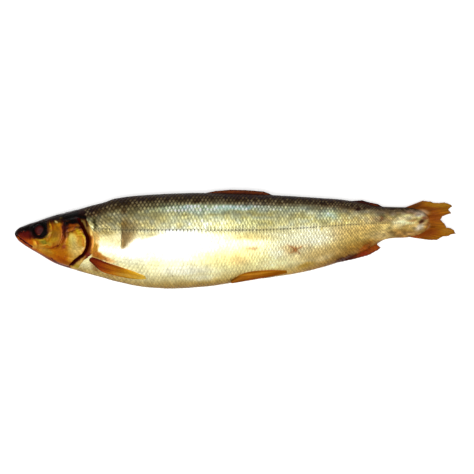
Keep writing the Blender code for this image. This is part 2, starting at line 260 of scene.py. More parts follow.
def random_at(i, j, seed):
    """An even random number from 0 to 1 for each pair of whole numbers."""
    i, j = np.asarray(i, np.int64), np.asarray(j, np.int64)
    n = (i * 374761393 + j * 668265263 + seed * 974634777) & 0xFFFFFFFF
    n = ((n ^ (n >> 13)) * 1274126177) & 0xFFFFFFFF
    return ((n ^ (n >> 16)) & 0xFFFFFF) / 0xFFFFFF


def noise(x, y, size, seed):
    """Smooth noise from -1 to 1 with features about size across."""
    i, j = np.floor(x / size), np.floor(y / size)
    fx, fy = x / size - i, y / size - j
    fx, fy = fx * fx * (3 - 2 * fx), fy * fy * (3 - 2 * fy)
    i, j = i.astype(np.int64), j.astype(np.int64)
    low = random_at(i, j, seed) * (1 - fx) + random_at(i + 1, j, seed) * fx
    high = random_at(i, j + 1, seed) * (1 - fx) + random_at(i + 1, j + 1, seed) * fx
    return 2 * (low * (1 - fy) + high * fy) - 1


def rough_noise(x, y, size, seed):
    """Noise with three finer layers on it."""
    return sum(noise(x, y, size / 2**k, seed + k) / 2**k for k in range(4)) / 1.5


# Painting. Colours are sRGB from 0 to 255, as they look on the lit fish: linear() takes off the
# light that the gloss adds, and the strength of the lighting.
GLARE = 0.008
EXPOSURE = 1.06

# Trunk colours by height, from the belly to the back, along the front and at the hind part; the
# near-white stops of the front just below the middle are partly painted highlight
TRUNK = (
    (-1, (136, 104, 46)),
    (-0.93, (176, 148, 84)),
    (-0.84, (218, 202, 142)),
    (-0.74, (238, 230, 180)),
    (-0.55, (242, 237, 194)),
    # silver, partly painted highlight
    (-0.3, (250, 249, 222)),
    (-0.1, (253, 253, 238)),
    (0.1, (238, 238, 204)),
    (0.26, (204, 203, 160)),
    (0.4, (190, 187, 138)),
    (0.52, (170, 166, 120)),
    (0.64, (164, 168, 130)),
    (0.72, (148, 153, 122)),
    (0.79, (92, 84, 60)),
    (0.84, (58, 45, 25)),
    (0.9, (46, 33, 14)),
    (1, (40, 26, 8)),
)
TRUNK_HIND = (
    (-1, (112, 66, 24)),
    (-0.9, (138, 96, 38)),
    (-0.66, (164, 122, 50)),
    (-0.5, (190, 158, 82)),
    (-0.3, (200, 170, 96)),
    (-0.1, (204, 174, 102)),
    (0.1, (202, 180, 114)),
    (0.26, (196, 178, 116)),
    (0.4, (190, 176, 118)),
    (0.52, (172, 160, 112)),
    (0.64, (126, 112, 80)),
    (0.74, (84, 68, 46)),
    (0.82, (60, 43, 29)),
    (0.9, (54, 37, 17)),
    (1, (44, 27, 9)),
)
# Head colours by height
HEAD = (
    (-1, (160, 96, 38)),
    (-0.985, (150, 84, 32)),
    (-0.965, (126, 68, 26)),
    (-0.88, (176, 104, 36)),
    (-0.55, (192, 120, 36)),
    (-0.1, (194, 136, 46)),
    (0.22, (180, 118, 36)),
    (0.34, (92, 50, 18)),
    (0.46, (40, 24, 10)),
    (1, (34, 20, 8)),
)
# Eye colours from the middle to the rim
EYE = (
    (0, (60, 18, 10)),
    (0.36, (70, 24, 10)),
    (0.6, (58, 19, 9)),
    (0.74, (34, 11, 7)),
    (0.84, (20, 9, 7)),
    (1, (16, 7, 5)),
)


def ramp(t, stops):
    """A colour for each t, mixed between the stops."""
    places = [place for place, _ in stops]
    colours = np.array([colour for _, colour in stops], float)
    return np.stack([np.interp(t, places, colours[:, k]) for k in range(3)], axis=-1)


def mix(colour, target, amount):
    """The colours moved towards the target by amount."""
    return colour + (np.array(target, float) - colour) * np.clip(amount, 0, 1)[..., None]


def spot(x, y, centre_x, centre_y, radius_x, radius_y, turn=0.0, edge=1.0):
    """1 in an ellipse, turned by turn degrees, and falling to 0 outside it: edge 1 is soft, 3 hard."""
    a = math.radians(turn)
    dx, dy = x - centre_x, y - centre_y
    along_x = dx * math.cos(a) + dy * math.sin(a)
    along_y = -dx * math.sin(a) + dy * math.cos(a)
    return np.exp(-(((along_x / radius_x) ** 2 + (along_y / radius_y) ** 2) ** edge))


def stroke(x, y, line, width, edge=1.0):
    """1 along a line of x, y points and falling to 0 beside it."""
    return np.exp(-(((distance_to(line, x, y) / width) ** 2) ** edge))


def paint_marks(colour, x, y, marks):
    """The colour with a table's marks painted over it in turn."""
    for mark_x, mark_y, radius_x, radius_y, turn, tint, strength, *edge in marks:
        shape = spot(x, y, mark_x, mark_y, radius_x, radius_y, turn, *(edge or [1.5]))
        colour = mix(colour, tint, strength * shape)
    return colour


# Soft marks on the trunk: x, y, half length, half height, turn in degrees, colour, strength, and
# how hard the edge is where that isn't 1.5
TRUNK_MARKS = (
    # dark shoulder behind the head, and the olive scales below it
    (74, 19.5, 15, 5.6, 14, (66, 52, 32), 0.85, 1.6),
    (80, 12.5, 12, 6.5, 6, (130, 122, 84), 0.85, 1.6),
    (84, 4, 12, 5, 0, (186, 178, 128), 0.6, 1.3),
    (72, 3, 5, 6, 0, (184, 170, 116), 0.7, 1.3),
    (100, 20.5, 13, 3.4, 4, (94, 82, 52), 0.85, 1.6),
    (108, 10, 15, 7, 0, (160, 152, 110), 0.6, 1.4),
    # tan painted shade behind the crease above the pectoral fin
    (97, 3, 6, 4.4, 16, (168, 146, 98), 0.7, 1.4),
    (88.4, 9, 3, 6, 0, (120, 112, 70), 0.6, 1.4),
    # brightest silver, below the lateral line, partly painted highlight
    (96, -15, 15, 6, -12, (255, 255, 252), 0.9, 1.3),
    (132, -6, 28, 7.5, 0, (255, 255, 250), 0.95),
    (136, 0.6, 14, 2.6, 0, (254, 254, 246), 0.9, 1.4),
    # dull front corner above the silver
    (76, 2, 10, 5.5, 0, (194, 180, 124), 0.75),
    (70, 10, 7, 4.6, 0, (126, 114, 76), 0.7),
    (90, 17, 8, 3.6, 0, (104, 92, 58), 0.6, 1.4),
    (97, 6, 8, 5, 0, (142, 126, 82), 0.7),
    (94, -1, 7, 3.4, 10, (186, 166, 114), 0.7, 1.4),
    (110, 4.6, 11, 4, 6, (178, 172, 126), 0.8, 1.6),
    (106, -1.6, 10, 2.6, 8, (212, 205, 162), 0.8),
    # cream between the shoulder and the silver, and gold beside the gill opening
    (75, -4, 11, 5, 0, (206, 196, 146), 0.8),
    (73, 3, 7, 4, 0, (150, 140, 96), 0.7),
    (80, -10.4, 10, 2.6, -10, (232, 226, 182), 0.6, 1.4),
    (88, -7.4, 5, 3.4, 0, (206, 196, 144), 0.75),
    # painted shade of the crease, further down
    (94.6, -3.2, 4.4, 4, 10, (176, 156, 104), 0.75),
    (113, 1.6, 6, 2.6, 0, (184, 176, 132), 0.6),
    (111, -18.6, 6, 4.4, 0, (238, 236, 198), 0.6, 1.4),
    (66.4, -3, 3.4, 6, 0, (190, 158, 88), 0.85),
    (65.6, -11, 3.2, 5.4, 6, (172, 130, 36), 0.95, 1.8),
    (67.4, -16.8, 4.4, 2.8, -20, (170, 120, 20), 0.95, 1.8),
    (74, -20.6, 5, 1.4, -26, (186, 138, 66), 0.85, 1.6),
    (67.4, -28.4, 4.6, 1.8, -46, (132, 84, 34), 0.85, 1.6),
    (78, -33.2, 9, 1.1, -10, (176, 132, 62), 0.7),
    # warm patches of the hind half, and the pale middle of the side, which is partly painted highlight
    (208, 3, 16, 2.8, 0, (204, 195, 142), 0.65),
    (222, -15, 9, 4, 0, (206, 182, 126), 0.55, 1.4),
    (243, -12, 9, 3.6, 8, (204, 182, 122), 0.5, 1.4),
    (302, -2.6, 8, 2.6, 8, (212, 184, 118), 0.75),
    (137, -17, 22, 8, 0, (250, 250, 236), 0.6, 1.2),
    (172, -5, 26, 6, 0, (247, 243, 212), 0.65, 1.2),
    (221, -4, 24, 3.6, 3, (248, 244, 204), 0.75, 1.2),
    (247, 1, 12, 3.4, 4, (242, 236, 188), 0.7, 1.2),
    (216, -15, 20, 5, 4, (240, 230, 184), 0.5, 1.2),
    # duller bands between
    (193, 0.4, 8, 2.6, 0, (206, 196, 150), 0.7, 1.2),
    (226, 1.6, 12, 2.4, 2, (202, 194, 144), 0.6, 1.3),
    (192, -12, 8, 2.4, 0, (222, 210, 164), 0.6, 1.2),
    # dark corner at the nape
    (61, 18, 6, 4, 14, (44, 28, 18), 0.95, 1.8),
    # dark olive strip behind the shoulder band, and orange above the pectoral fin
    (65.9, 8.2, 1.7, 5.6, 2, (52, 48, 24), 0.9, 1.8),
    (70, -17.6, 5.6, 1.9, -24, (202, 152, 60), 0.85, 1.6),
    (78, -21, 5, 1.2, -20, (226, 178, 104), 0.6, 1.4),
    (66, -24.6, 4, 3.4, 20, (186, 156, 100), 0.8, 1.4),
    (69, -31.8, 8, 1.8, -20, (172, 148, 84), 0.8, 1.4),
    (172, -17, 22, 5, 0, (234, 224, 172), 0.5, 1.2),
    # grey sheen over the pectoral fin's tip
    (97, -22.5, 12, 4, -8, (226, 224, 198), 0.6, 1.4),
    # yellow sheen above the lateral line
    (162, 8.4, 22, 4, 0, (242, 243, 206), 0.9, 1.6),
    (160, 13.4, 20, 2.4, 0, (216, 216, 162), 0.7, 1.4),
    (110, 8.4, 12, 3, 0, (180, 174, 130), 0.6, 1.3),
    (190, 10.5, 12, 4, 0, (208, 210, 156), 0.6, 1.2),
    # blue green strip under the dark back, and light blue painted glints on it
    (152, 20.9, 34, 2.5, 0, (176, 192, 154), 0.8, 2),
    (142, 21.4, 7, 1.6, 0, (184, 212, 206), 0.75),
    (178, 20.9, 19, 1.9, 0, (190, 222, 218), 0.9, 1.8),
    (206, 20.4, 14, 2.2, 0, (150, 152, 126), 0.7),
    (232, 20.4, 9, 2, 0, (144, 146, 120), 0.6),
    (239, 16.4, 8, 2.4, 0, (190, 190, 146), 0.6, 1.4),
    (252, 20.6, 12, 1.8, -2, (112, 108, 84), 0.75),
    (134, 25.4, 26, 1.9, 1, (74, 66, 44), 0.75, 1.7),
    (90, 22.8, 14, 2.8, 8, (50, 36, 18), 0.85, 1.7),
    (112, 23.2, 13, 2.2, 0, (72, 64, 40), 0.8, 1.6),
    (127, 23.4, 11, 1.8, 0, (88, 90, 66), 0.75),
    (186, 16.8, 14, 2.4, 0, (184, 180, 128), 0.6, 1.4),
    (156, 18, 21, 1.8, 0, (194, 206, 168), 0.75, 1.6),
    (191, 22.6, 12, 1.5, 0, (164, 182, 166), 0.7, 1.6),
    (165.6, 26.4, 5, 1.4, 0, (112, 106, 80), 0.75),
    (220, 26.6, 20, 1.5, -2, (82, 68, 46), 0.75, 1.6),
    (244, 13.6, 13, 3.8, -4, (206, 206, 158), 0.7, 1.4),
    (289, 18.2, 9, 1.8, -2, (142, 132, 100), 0.75),
    # pale and dull patches, mostly below the lateral line; the palest are partly painted highlight
    (193, -2.2, 17, 2.4, 0, (212, 202, 154), 0.75),
    (213, -13.4, 7, 5, 0, (254, 254, 234), 0.8, 1.4),
    (245, -4.6, 15, 4.6, 3, (252, 248, 212), 0.8, 1.4),
    (251, -18.4, 8, 2.4, 16, (220, 198, 142), 0.75, 1.4),
    (140, -29, 26, 4.4, 0, (252, 251, 236), 0.75),
    (152, -34.8, 13, 2.2, 4, (236, 230, 190), 0.75),
    (224, -14, 5, 3, 0, (196, 164, 112), 0.6, 1.4),
    (313, 9, 6, 3, 4, (218, 208, 158), 0.6, 1.4),
    # a cyan painted glint
    (256, 15.6, 8, 4, 0, (178, 200, 168), 0.75, 1.4),
    # dark back thins out over the strip
    (196, 24.6, 16, 1.8, 1, (86, 78, 64), 0.8, 1.6),
    (224, 23.4, 12, 1.6, 2, (116, 108, 80), 0.6),
    # olive, yellow and gold hind part, and more patches of the side; the near-white ones are partly
    # painted highlight
    (224, 14.4, 16, 3.4, 0, (168, 162, 116), 0.6, 1.3),
    (246, 9.6, 16, 3.4, 0, (206, 204, 148), 0.6, 1.3),
    (288, 12, 12, 4, 0, (162, 140, 92), 0.6, 1.3),
    (248, -16, 22, 4, 12, (202, 172, 104), 0.65, 1.3),
    (226, -11, 12, 3, 4, (200, 172, 118), 0.6, 1.3),
    (234, 2.6, 16, 3, 3, (248, 244, 202), 0.7, 1.3),
    (292, 0, 10, 3.4, 20, (204, 176, 106), 0.75, 1.3),
    (108, 0.4, 11, 2.2, 0, (196, 190, 146), 0.7, 1.6),
    (84, -6, 7, 3.4, 0, (210, 202, 156), 0.6, 1.4),
    (133, 6.4, 8, 4, 0, (190, 186, 142), 0.55),
    (186, 5, 8, 2.4, 0, (202, 196, 142), 0.65, 1.4),
    (188, 1.2, 24, 2.4, 0, (204, 197, 150), 0.65, 1.6),
    (198, -3, 18, 2.4, 0, (200, 190, 144), 0.5),
    (88, 14, 12, 3, 0, (148, 142, 104), 0.5),
    (206, 8.6, 7, 2.4, 0, (184, 178, 122), 0.6, 1.4),
    (207, -24, 9, 4, 0, (252, 244, 204), 0.7, 1.3),
    (212, -16, 7, 3.4, 0, (252, 250, 232), 0.5, 1.3),
    (167, -15, 9, 3.4, 0, (250, 248, 218), 0.5, 1.3),
    (154, -35.6, 8, 2.4, 4, (246, 240, 204), 0.7, 1.4),
    (173, -34.6, 7, 2, 8, (222, 202, 136), 0.7, 1.4),
    (237, -25, 6, 1.8, 16, (176, 134, 44), 0.7, 1.4),
    (251, -20.4, 5, 1.8, 18, (230, 204, 140), 0.7, 1.4),
    (284, 4, 5, 2.4, 0, (172, 144, 82), 0.6, 1.4),
    (297, -0.6, 4, 2, 10, (232, 206, 138), 0.7, 1.4),
    # tail root
    (306, 17, 12, 2, 0, (118, 98, 72), 0.8),
    (300, 11.6, 10, 2.4, 0, (142, 116, 78), 0.75, 1.4),
    (322, 18.6, 6, 1.8, 0, (128, 100, 80), 0.7),
    (314, 11.6, 7, 2.6, 4, (206, 188, 136), 0.85, 1.6),
    (324, 13.6, 6, 1.6, 4, (214, 200, 170), 0.8),
    (327, 15.4, 3, 0.9, -20, (226, 218, 200), 0.8, 1.6),
    (311, 9.4, 4, 1.3, 8, (234, 228, 180), 0.9, 1.8),
    (316.4, 9.6, 3.6, 1.7, 4, (242, 238, 196), 0.8),
    (320, 8.6, 6, 1.3, 3, (236, 224, 166), 0.9, 1.8),
    (316, 0.4, 9, 1.8, 2, (176, 130, 68), 0.7, 1.6),
    (325, 17.6, 6, 2.4, -8, (138, 112, 90), 0.75, 1.6),
    (324, 10.6, 4, 0.8, 6, (176, 132, 84), 0.8, 1.6),
    (316, 6, 4, 0.7, 4, (178, 138, 70), 0.8, 1.6),
    (303, 5, 7, 3.2, 4, (206, 182, 114), 0.8, 1.4),
    (300, -0.6, 6, 2.2, 12, (210, 180, 114), 0.75, 1.4),
    (313, 1.8, 8, 2.6, 3, (182, 138, 72), 0.85, 1.4),
    (298, -0.4, 10, 3.4, 10, (222, 192, 124), 0.75, 1.4),
    (311, 7, 5, 2.6, 4, (224, 206, 148), 0.7, 1.4),
    (326, 6, 5, 2, 10, (184, 154, 100), 0.6, 1.4),
    (323, 0.6, 7, 2, 6, (196, 152, 92), 0.75, 1.3),
    (331, 17.2, 6, 2.4, -14, (204, 182, 156), 0.85, 1.2),
    (333.6, 12.8, 2.2, 1.4, 0, (120, 64, 44), 0.8, 1.4),
    (331.6, 9.8, 2.8, 1.8, 20, (60, 26, 14), 0.92, 1.8),
    (330, 5.6, 5, 2.4, 20, (232, 218, 196), 0.85, 1.4),
    # skin over the root of the anal fin
    (269.5, -19.6, 9.5, 2.2, 20, (70, 34, 8), 0.95, 2),
    (285, -11.6, 7, 2.4, 36, (150, 78, 20), 0.9, 1.8),
    # scars, specks and rubbed spots
    (149.5, 26.6, 3.8, 1.7, 0, (44, 28, 16), 0.95, 1.8),
    (188, 30.6, 15, 2.6, 0, (40, 20, 4), 0.9, 1.8),
    (88, 12, 14, 9, 0, (120, 112, 78), 0.35, 1.4),
    (279, 20, 2.6, 1.6, 0, (34, 18, 16), 0.9, 1.8),
    (298, 12.4, 1.4, 2.2, 0, (128, 84, 52), 0.8),
    (228, -12.6, 3, 2.4, 0, (140, 84, 44), 0.85),
    (224.4, -10, 2.4, 1, -34, (166, 112, 68), 0.8),
    (232.2, -10.4, 1.8, 1, 44, (150, 96, 54), 0.8),
    (231.4, -15.6, 1.6, 1, -40, (150, 98, 54), 0.75),
    (225, -15.2, 1.6, 0.9, 50, (166, 116, 70), 0.6),
    (193.5, -11.4, 5, 1, 0, (206, 178, 142), 0.75, 1.3),
    (183, -22, 8, 4, 0, (236, 210, 160), 0.5, 1.2),
    (128.6, -33.9, 0.8, 1, 0, (110, 96, 70), 0.9),
    (249, 4.4, 0.9, 1.6, 0, (190, 170, 84), 0.7),
)

# Marks on the head, on the throat, and on an eye from its middle
HEAD_MARKS = (
    # snout and jaws
    (8, 0.4, 8, 5, -20, (112, 44, 12), 0.95, 1.6),
    (11, 5.6, 11, 2.8, 22, (40, 18, 8), 0.97, 1.6),
    (0.8, 0.6, 2, 2.8, 0, (26, 10, 6), 0.97, 1.6),
    (7, -4, 6, 1.4, -38, (150, 66, 16), 0.85),
    (13.6, -6.6, 3.4, 1.6, -36, (196, 112, 28), 0.8),
    (12, -9.4, 5, 0.9, -34, (168, 88, 22), 0.8),
    (7.8, 1.9, 0.9, 0.5, 20, (184, 104, 74), 0.7),
    (14.6, 1, 2.6, 3.4, 0, (66, 28, 18), 0.85),
    (14.2, 1.4, 0.9, 1.3, 0, (66, 48, 70), 0.6, 1.4),
    # round the eye
    (20.9, 2.6, 7.4, 7, 0, (30, 14, 8), 0.98, 4),
    (13.4, -0.4, 2.4, 2.8, 0, (92, 38, 12), 0.8),
    (18, -3, 2, 1.4, -20, (56, 24, 20), 0.8, 1.4),
    (27, -1.8, 2.2, 1.3, 44, (110, 104, 56), 0.8, 1.4),
    # cheek
    (34.2, 4, 6.4, 6.2, 0, (192, 138, 42), 0.9, 2),
    (29.6, 6.6, 1.2, 3.6, 8, (226, 178, 76), 0.8),
    (31.6, 6, 1, 3.8, 4, (160, 88, 20), 0.75),
    (27.6, 6, 1, 4, 6, (128, 92, 34), 0.8),
    (36.6, 7.4, 3, 1.6, -50, (222, 164, 50), 0.8),
    (39, 4, 1.2, 5, -6, (202, 126, 34), 0.8),
    (32.6, 0.6, 4.4, 3, 0, (160, 118, 44), 0.8),
    (29, 0, 3.4, 1, 34, (190, 160, 70), 0.7),
    (26.4, -3.8, 3.2, 0.9, 8, (190, 150, 62), 0.7),
    (24.4, -6.8, 4, 2.2, -6, (150, 148, 84), 0.92, 1.8),
    (21.6, -5, 3.8, 0.8, -8, (196, 176, 88), 0.8),
    (28.8, -7.6, 2, 2, 0, (208, 176, 98), 0.85),
    (32.6, -4.6, 4, 2.6, 20, (196, 158, 66), 0.85),
    (24, -9.4, 5, 0.6, 4, (232, 196, 116), 0.8),
    # painted highlight on the hind end of the upper jaw
    (17.2, -7.6, 1.1, 3, 22, (240, 192, 96), 0.95, 1.8),
    (19.6, -8.6, 0.8, 2.2, 24, (150, 84, 24), 0.7),
    # dark bar and the groove that runs on from it
    (41.2, 2.2, 2, 6, 2, (92, 44, 14), 0.95, 2.2),
    (40, -4, 1.6, 3.4, 8, (170, 92, 26), 0.85, 1.6),
    (38.6, -6.6, 1.6, 1.4, 0, (190, 104, 28), 0.7),
    (36, -9.6, 1.5, 1.1, 30, (122, 56, 8), 0.9, 1.8),
    (31, -11.2, 5, 0.7, 18, (150, 74, 10), 0.85, 1.6),
    (22.6, -11.6, 5, 0.7, -4, (146, 70, 12), 0.8, 1.6),
    (43.4, -5.6, 0.9, 3, 8, (216, 160, 66), 0.6, 1.6),
    # gill cover
    (47.6, 6.6, 4.6, 1.6, 4, (176, 104, 16), 0.9, 1.8),
    # a pinkish painted glint
    (52.6, 7, 2, 1.2, -26, (206, 150, 84), 0.75),
    (46.6, 1.7, 3.4, 0.8, 16, (96, 44, 4), 0.92, 2),
    (47, 4, 3.4, 1.2, 10, (196, 128, 34), 0.8, 1.6),
    (48.2, -3.8, 4, 5.6, 12, (226, 197, 124), 0.97, 2.2),
    (43.8, -0.2, 2, 2.8, 0, (134, 86, 40), 0.85, 1.6),
    (47.4, -2.4, 1.6, 3.4, 10, (240, 212, 144), 0.8),
    (53.2, 1.6, 2.2, 3.6, 28, (198, 170, 30), 0.9, 1.8),
    (54.6, -6, 1.4, 4.6, 6, (184, 150, 62), 0.8, 1.6),
    (57.2, -1.8, 0.9, 3.6, 14, (196, 190, 50), 0.85, 1.6),
    (58.4, -6.6, 0.8, 4.4, -4, (228, 196, 132), 0.85, 1.6),
    (55.8, -12, 2, 2.6, -34, (222, 196, 156), 0.85, 1.6),
    (51.4, -13, 4, 4, 30, (204, 164, 92), 0.85, 1.8),
    (46.4, -9.2, 3.6, 0.8, -32, (214, 164, 74), 0.75, 1.6),
    (52, -17, 4.4, 2, 32, (222, 184, 112), 0.85, 1.6),
    (47, -20, 5, 2.2, 24, (206, 162, 84), 0.85, 1.6),
    (41.2, -10.6, 1.8, 1.6, 0, (150, 70, 8), 0.85),
    (44, -12.2, 1.4, 2.4, 10, (158, 82, 14), 0.75),
    (36, -15.2, 8, 3, -14, (192, 128, 40), 0.85, 1.6),
    (25, -13.4, 9, 3.2, -26, (202, 168, 104), 0.8),
    (16.4, -10.6, 2.6, 1.6, -30, (212, 174, 118), 0.7),
    (49.4, -12.6, 6.4, 7.4, 20, (216, 186, 128), 0.8, 1.8),
    (46, -24.2, 6, 2, -16, (166, 130, 74), 0.8),
    (55.6, 9.2, 3, 3.6, 20, (46, 20, 10), 0.95, 1.8),
    (36, 10.4, 3.8, 1.6, 12, (92, 74, 44), 0.8, 1.6),
    (31, -18, 7, 1.4, -28, (190, 132, 60), 0.7),
    (40, -20.6, 8, 1.5, -24, (168, 98, 26), 0.75),
    # specks on top
    (38.4, 13, 1.7, 1.1, 0, (104, 106, 92), 0.75),
    (37.6, 10.2, 1, 0.9, 0, (80, 74, 58), 0.7),
    # a white painted glint
    (34.2, 9.8, 1.5, 0.7, -46, (232, 220, 180), 0.9, 1.6),
    (29.6, 11, 1.6, 0.7, 20, (96, 70, 34), 0.7),
    (43.6, 10.2, 2.6, 0.9, 0, (92, 74, 46), 0.7, 1.4),
    (61.6, 20.6, 2.2, 1.2, 12, (118, 110, 98), 0.8),
    (54, 13, 6, 3.4, 8, (34, 16, 10), 0.9, 1.8),
    (58, 11.6, 2.4, 2.2, 0, (34, 14, 10), 0.9),
)

THROAT_MARKS = (
    (54, -27, 7, 1.6, -18, (168, 156, 60), 0.7, 1.4),
    (61, -24, 4, 2.4, -30, (206, 178, 120), 0.7, 1.4),
    (56.6, -19.6, 3, 1.3, 30, (200, 160, 104), 0.7, 1.4),
    (61.6, -19.4, 4, 2.2, -10, (163, 112, 64), 0.85),
)
EYE_MARKS = (
    (2.4, 0.4, 2.2, 3.4, 0, (46, 10, 24), 0.7, 1.3),
    # a dim painted glint low on the eye
    (-0.8, -3.3, 1.2, 0.4, 8, (150, 84, 58), 0.7, 1.3),
)

# Lines on the head and shoulder: points, half width, colour, strength
GILL_GAP = (
    (50.4, 12.6), (55, 8.2), (58.4, 2.4), (60.4, -3), (60.8, -8), (59.8, -12.4), (57.2, -16.2),
    (52.6, -19.8), (47.6, -24.4),
)
SHOULDER_BAND = ((61, 12.4), (63, 7.4), (63.6, 2), (63.8, -4), (63.8, -10), (65, -15.4))
HEAD_LINES = (
    (GILL_GAP, 1.5, (58, 12, 6), 1),
    (((30, -19.8), (37, -24), (46, -27.9)), 0.45, (84, 42, 18), 0.8),
    (((56.6, 13.4), (59.8, 7), (61.4, 0)), 2, (136, 106, 72), 0.9),
    (SHOULDER_BAND, 1.9, (200, 152, 78), 0.95),
    (((62.6, 12), (63.4, 7)), 1.4, (140, 114, 76), 0.85),
    (((61.8, -1), (61.8, -11), (61, -16), (59.6, -20)), 2.1, (128, 74, 36), 0.95),
    (((54, 14.4), (58.6, 13), (63, 13.6)), 2.4, (34, 18, 12), 0.95),
    (((59.6, 9.8), (60.6, 6)), 1, (44, 22, 14), 0.8),
    (((59.8, 16), (61.8, 12.6), (62.8, 7.6)), 0.6, (204, 184, 156), 0.85),
    (((63.8, 14.2), (63.8, 8.5)), 0.5, (190, 178, 146), 0.8),
    (((62.6, 6), (63.6, 0)), 1.1, (236, 212, 150), 0.9),
    (((64, -5), (64.8, -14)), 1.2, (208, 146, 62), 0.85),
    (((64.4, -15), (66.6, -18.6)), 1.8, (232, 168, 70), 0.85),
    (((58, -15.4), (62, -17.4)), 1.4, (120, 40, 34), 0.7),
    (MOUTH, 0.5, (60, 18, 8), 0.8),
)


def crease_shade(x, y):
    """1 at the front edge of the crease in the skin above the pectoral fin, fading behind it: the skin
    sinks there, and the shade in it is painted.
    """
    width = np.interp(y, (-13.0, -4.0, 5.0, 15.0), (2.4, 5.0, 8.0, 8.0))
    fade = np.exp(-(np.clip(x - 88.4, 0, None) / width) ** 1.6)
    return smooth_step(x, 87.0, 88.4) * fade * smooth_step(y, -13.5, -9) * (1 - smooth_step(y, 9, 15))


def paint_trunk(x, y, height, seed):
    """Colour of the scaled skin, without its scales."""
    wander = 0.03 * noise(x, y * 0.3, 14, seed) + 0.015 * noise(x, y, 3, seed + 1)
    hind = smooth_step(x, 218, 278)[..., None]
    # the dark of the back reaches further down in front and behind the back fin than before it
    shift = 0.05 * smooth_step(x, 166, 190) - 0.03 * smooth_step(x, 110, 130)
    shift = shift - 0.02 * smooth_step(x, 205, 222)
    place = height + wander + 0.03 * smooth_step(height, 0.4, 0.6) + shift * (height > 0.4)
    place = np.clip(place, -1, 1)
    colour = ramp(place, TRUNK) * (1 - hind) + ramp(place, TRUNK_HIND) * hind
    # the smoke turns the silver creamier towards the tail, and golden along the belly there
    gold = smooth_step(x, 175, 215) * (1 - smooth_step(height, -0.95, -0.7))
    colour = mix(colour, (184, 144, 74), 0.35 * gold)
    ragged_x = x + 1.1 * noise(x, y, 3.2, seed + 2)
    ragged_y = y + 0.8 * noise(x, y, 3.2, seed + 3)
    colour = paint_marks(colour, ragged_x, ragged_y, TRUNK_MARKS)
    # painted shade in the crease above the pectoral fin, paler and tan towards its lower end, and the
    # dark spot over it
    fold = 0.9 * crease_shade(x, y)
    colour = mix(colour, (118, 98, 56), fold)
    colour = mix(colour, (172, 146, 88), 0.7 * fold * (1 - smooth_step(y, -8, 1)))
    colour = mix(colour, (78, 60, 36), 0.85 * spot(x, y, 89.6, 18.6, 2.6, 2.8, 8, 1.6))
    nape = 1 - smooth_step(x + 3 * noise(x, y, 3, seed + 18), 63, 82)
    colour = mix(colour, (44, 29, 16), 0.65 * smooth_step(height, 0.5, 0.75) * nape)
    warm = smooth_step(x, 120, 200) * (1 - smooth_step(x, 205, 250))
    warm = warm * (1 - smooth_step(height, 0.2, 0.45))
    colour = colour * (1 + warm[..., None] * np.array((0.016, 0.004, -0.075)))
    # smoke gathers unevenly towards the tail
    uneven = 0.10 * rough_noise(x, y, 5, seed + 12) + 0.10 * noise(x * 0.35, y, 1.5, seed + 14)
    uneven = uneven + 0.06 * noise(x * 0.7, y, 1.3, seed + 17) * smooth_step(x, 200, 280)
    uneven = uneven * (1 + 0.9 * smooth_step(x, 270, 310))
    silver = smooth_step(height, -0.7, -0.4) * (1 - smooth_step(height, 0.0, 0.2))
    share = 0.25 + 0.75 * smooth_step(x, 190, 280) - 0.2 * silver * (1 - smooth_step(x, 190, 260))
    colour = np.clip(colour * (1 + (share * uneven)[..., None]), 0, 255)
    # olive, tan and greenish patches over the scales above the lateral line
    drift = smooth_step(height, 0.0, 0.2) * (1 - smooth_step(height, 0.62, 0.76))
    patch = noise(x * 0.5, y, 1.7, seed + 19) + 0.7 * noise(x * 0.6, y * 1.3, 3.4, seed + 22)
    patch = patch + 0.6 * noise(x, y, 1.2, seed + 25)
    hue = (drift * noise(x * 0.6, y, 2.6, seed + 24))[..., None] * np.array((0.03, 0.0, -0.10))
    colour = colour * (1 + (0.08 * drift * patch)[..., None] + hue)
    # the last scales run out into the tail fin
    fringe = smooth_step(x + 2.2 * noise(x, y, 2.6, seed + 16), 333.5, 338)
    return mix(colour, (150, 88, 40), 0.8 * fringe)


# How much of each colour stays, over the cheek and on the gill cover: x, y, radii, shares
HEAD_SHADES = (
    (37, -5, 10, 11, (0.9, 0.95, 0.8)),
    (51, -8, 6.5, 9, (0.97, 1.04, 1.18)),
)


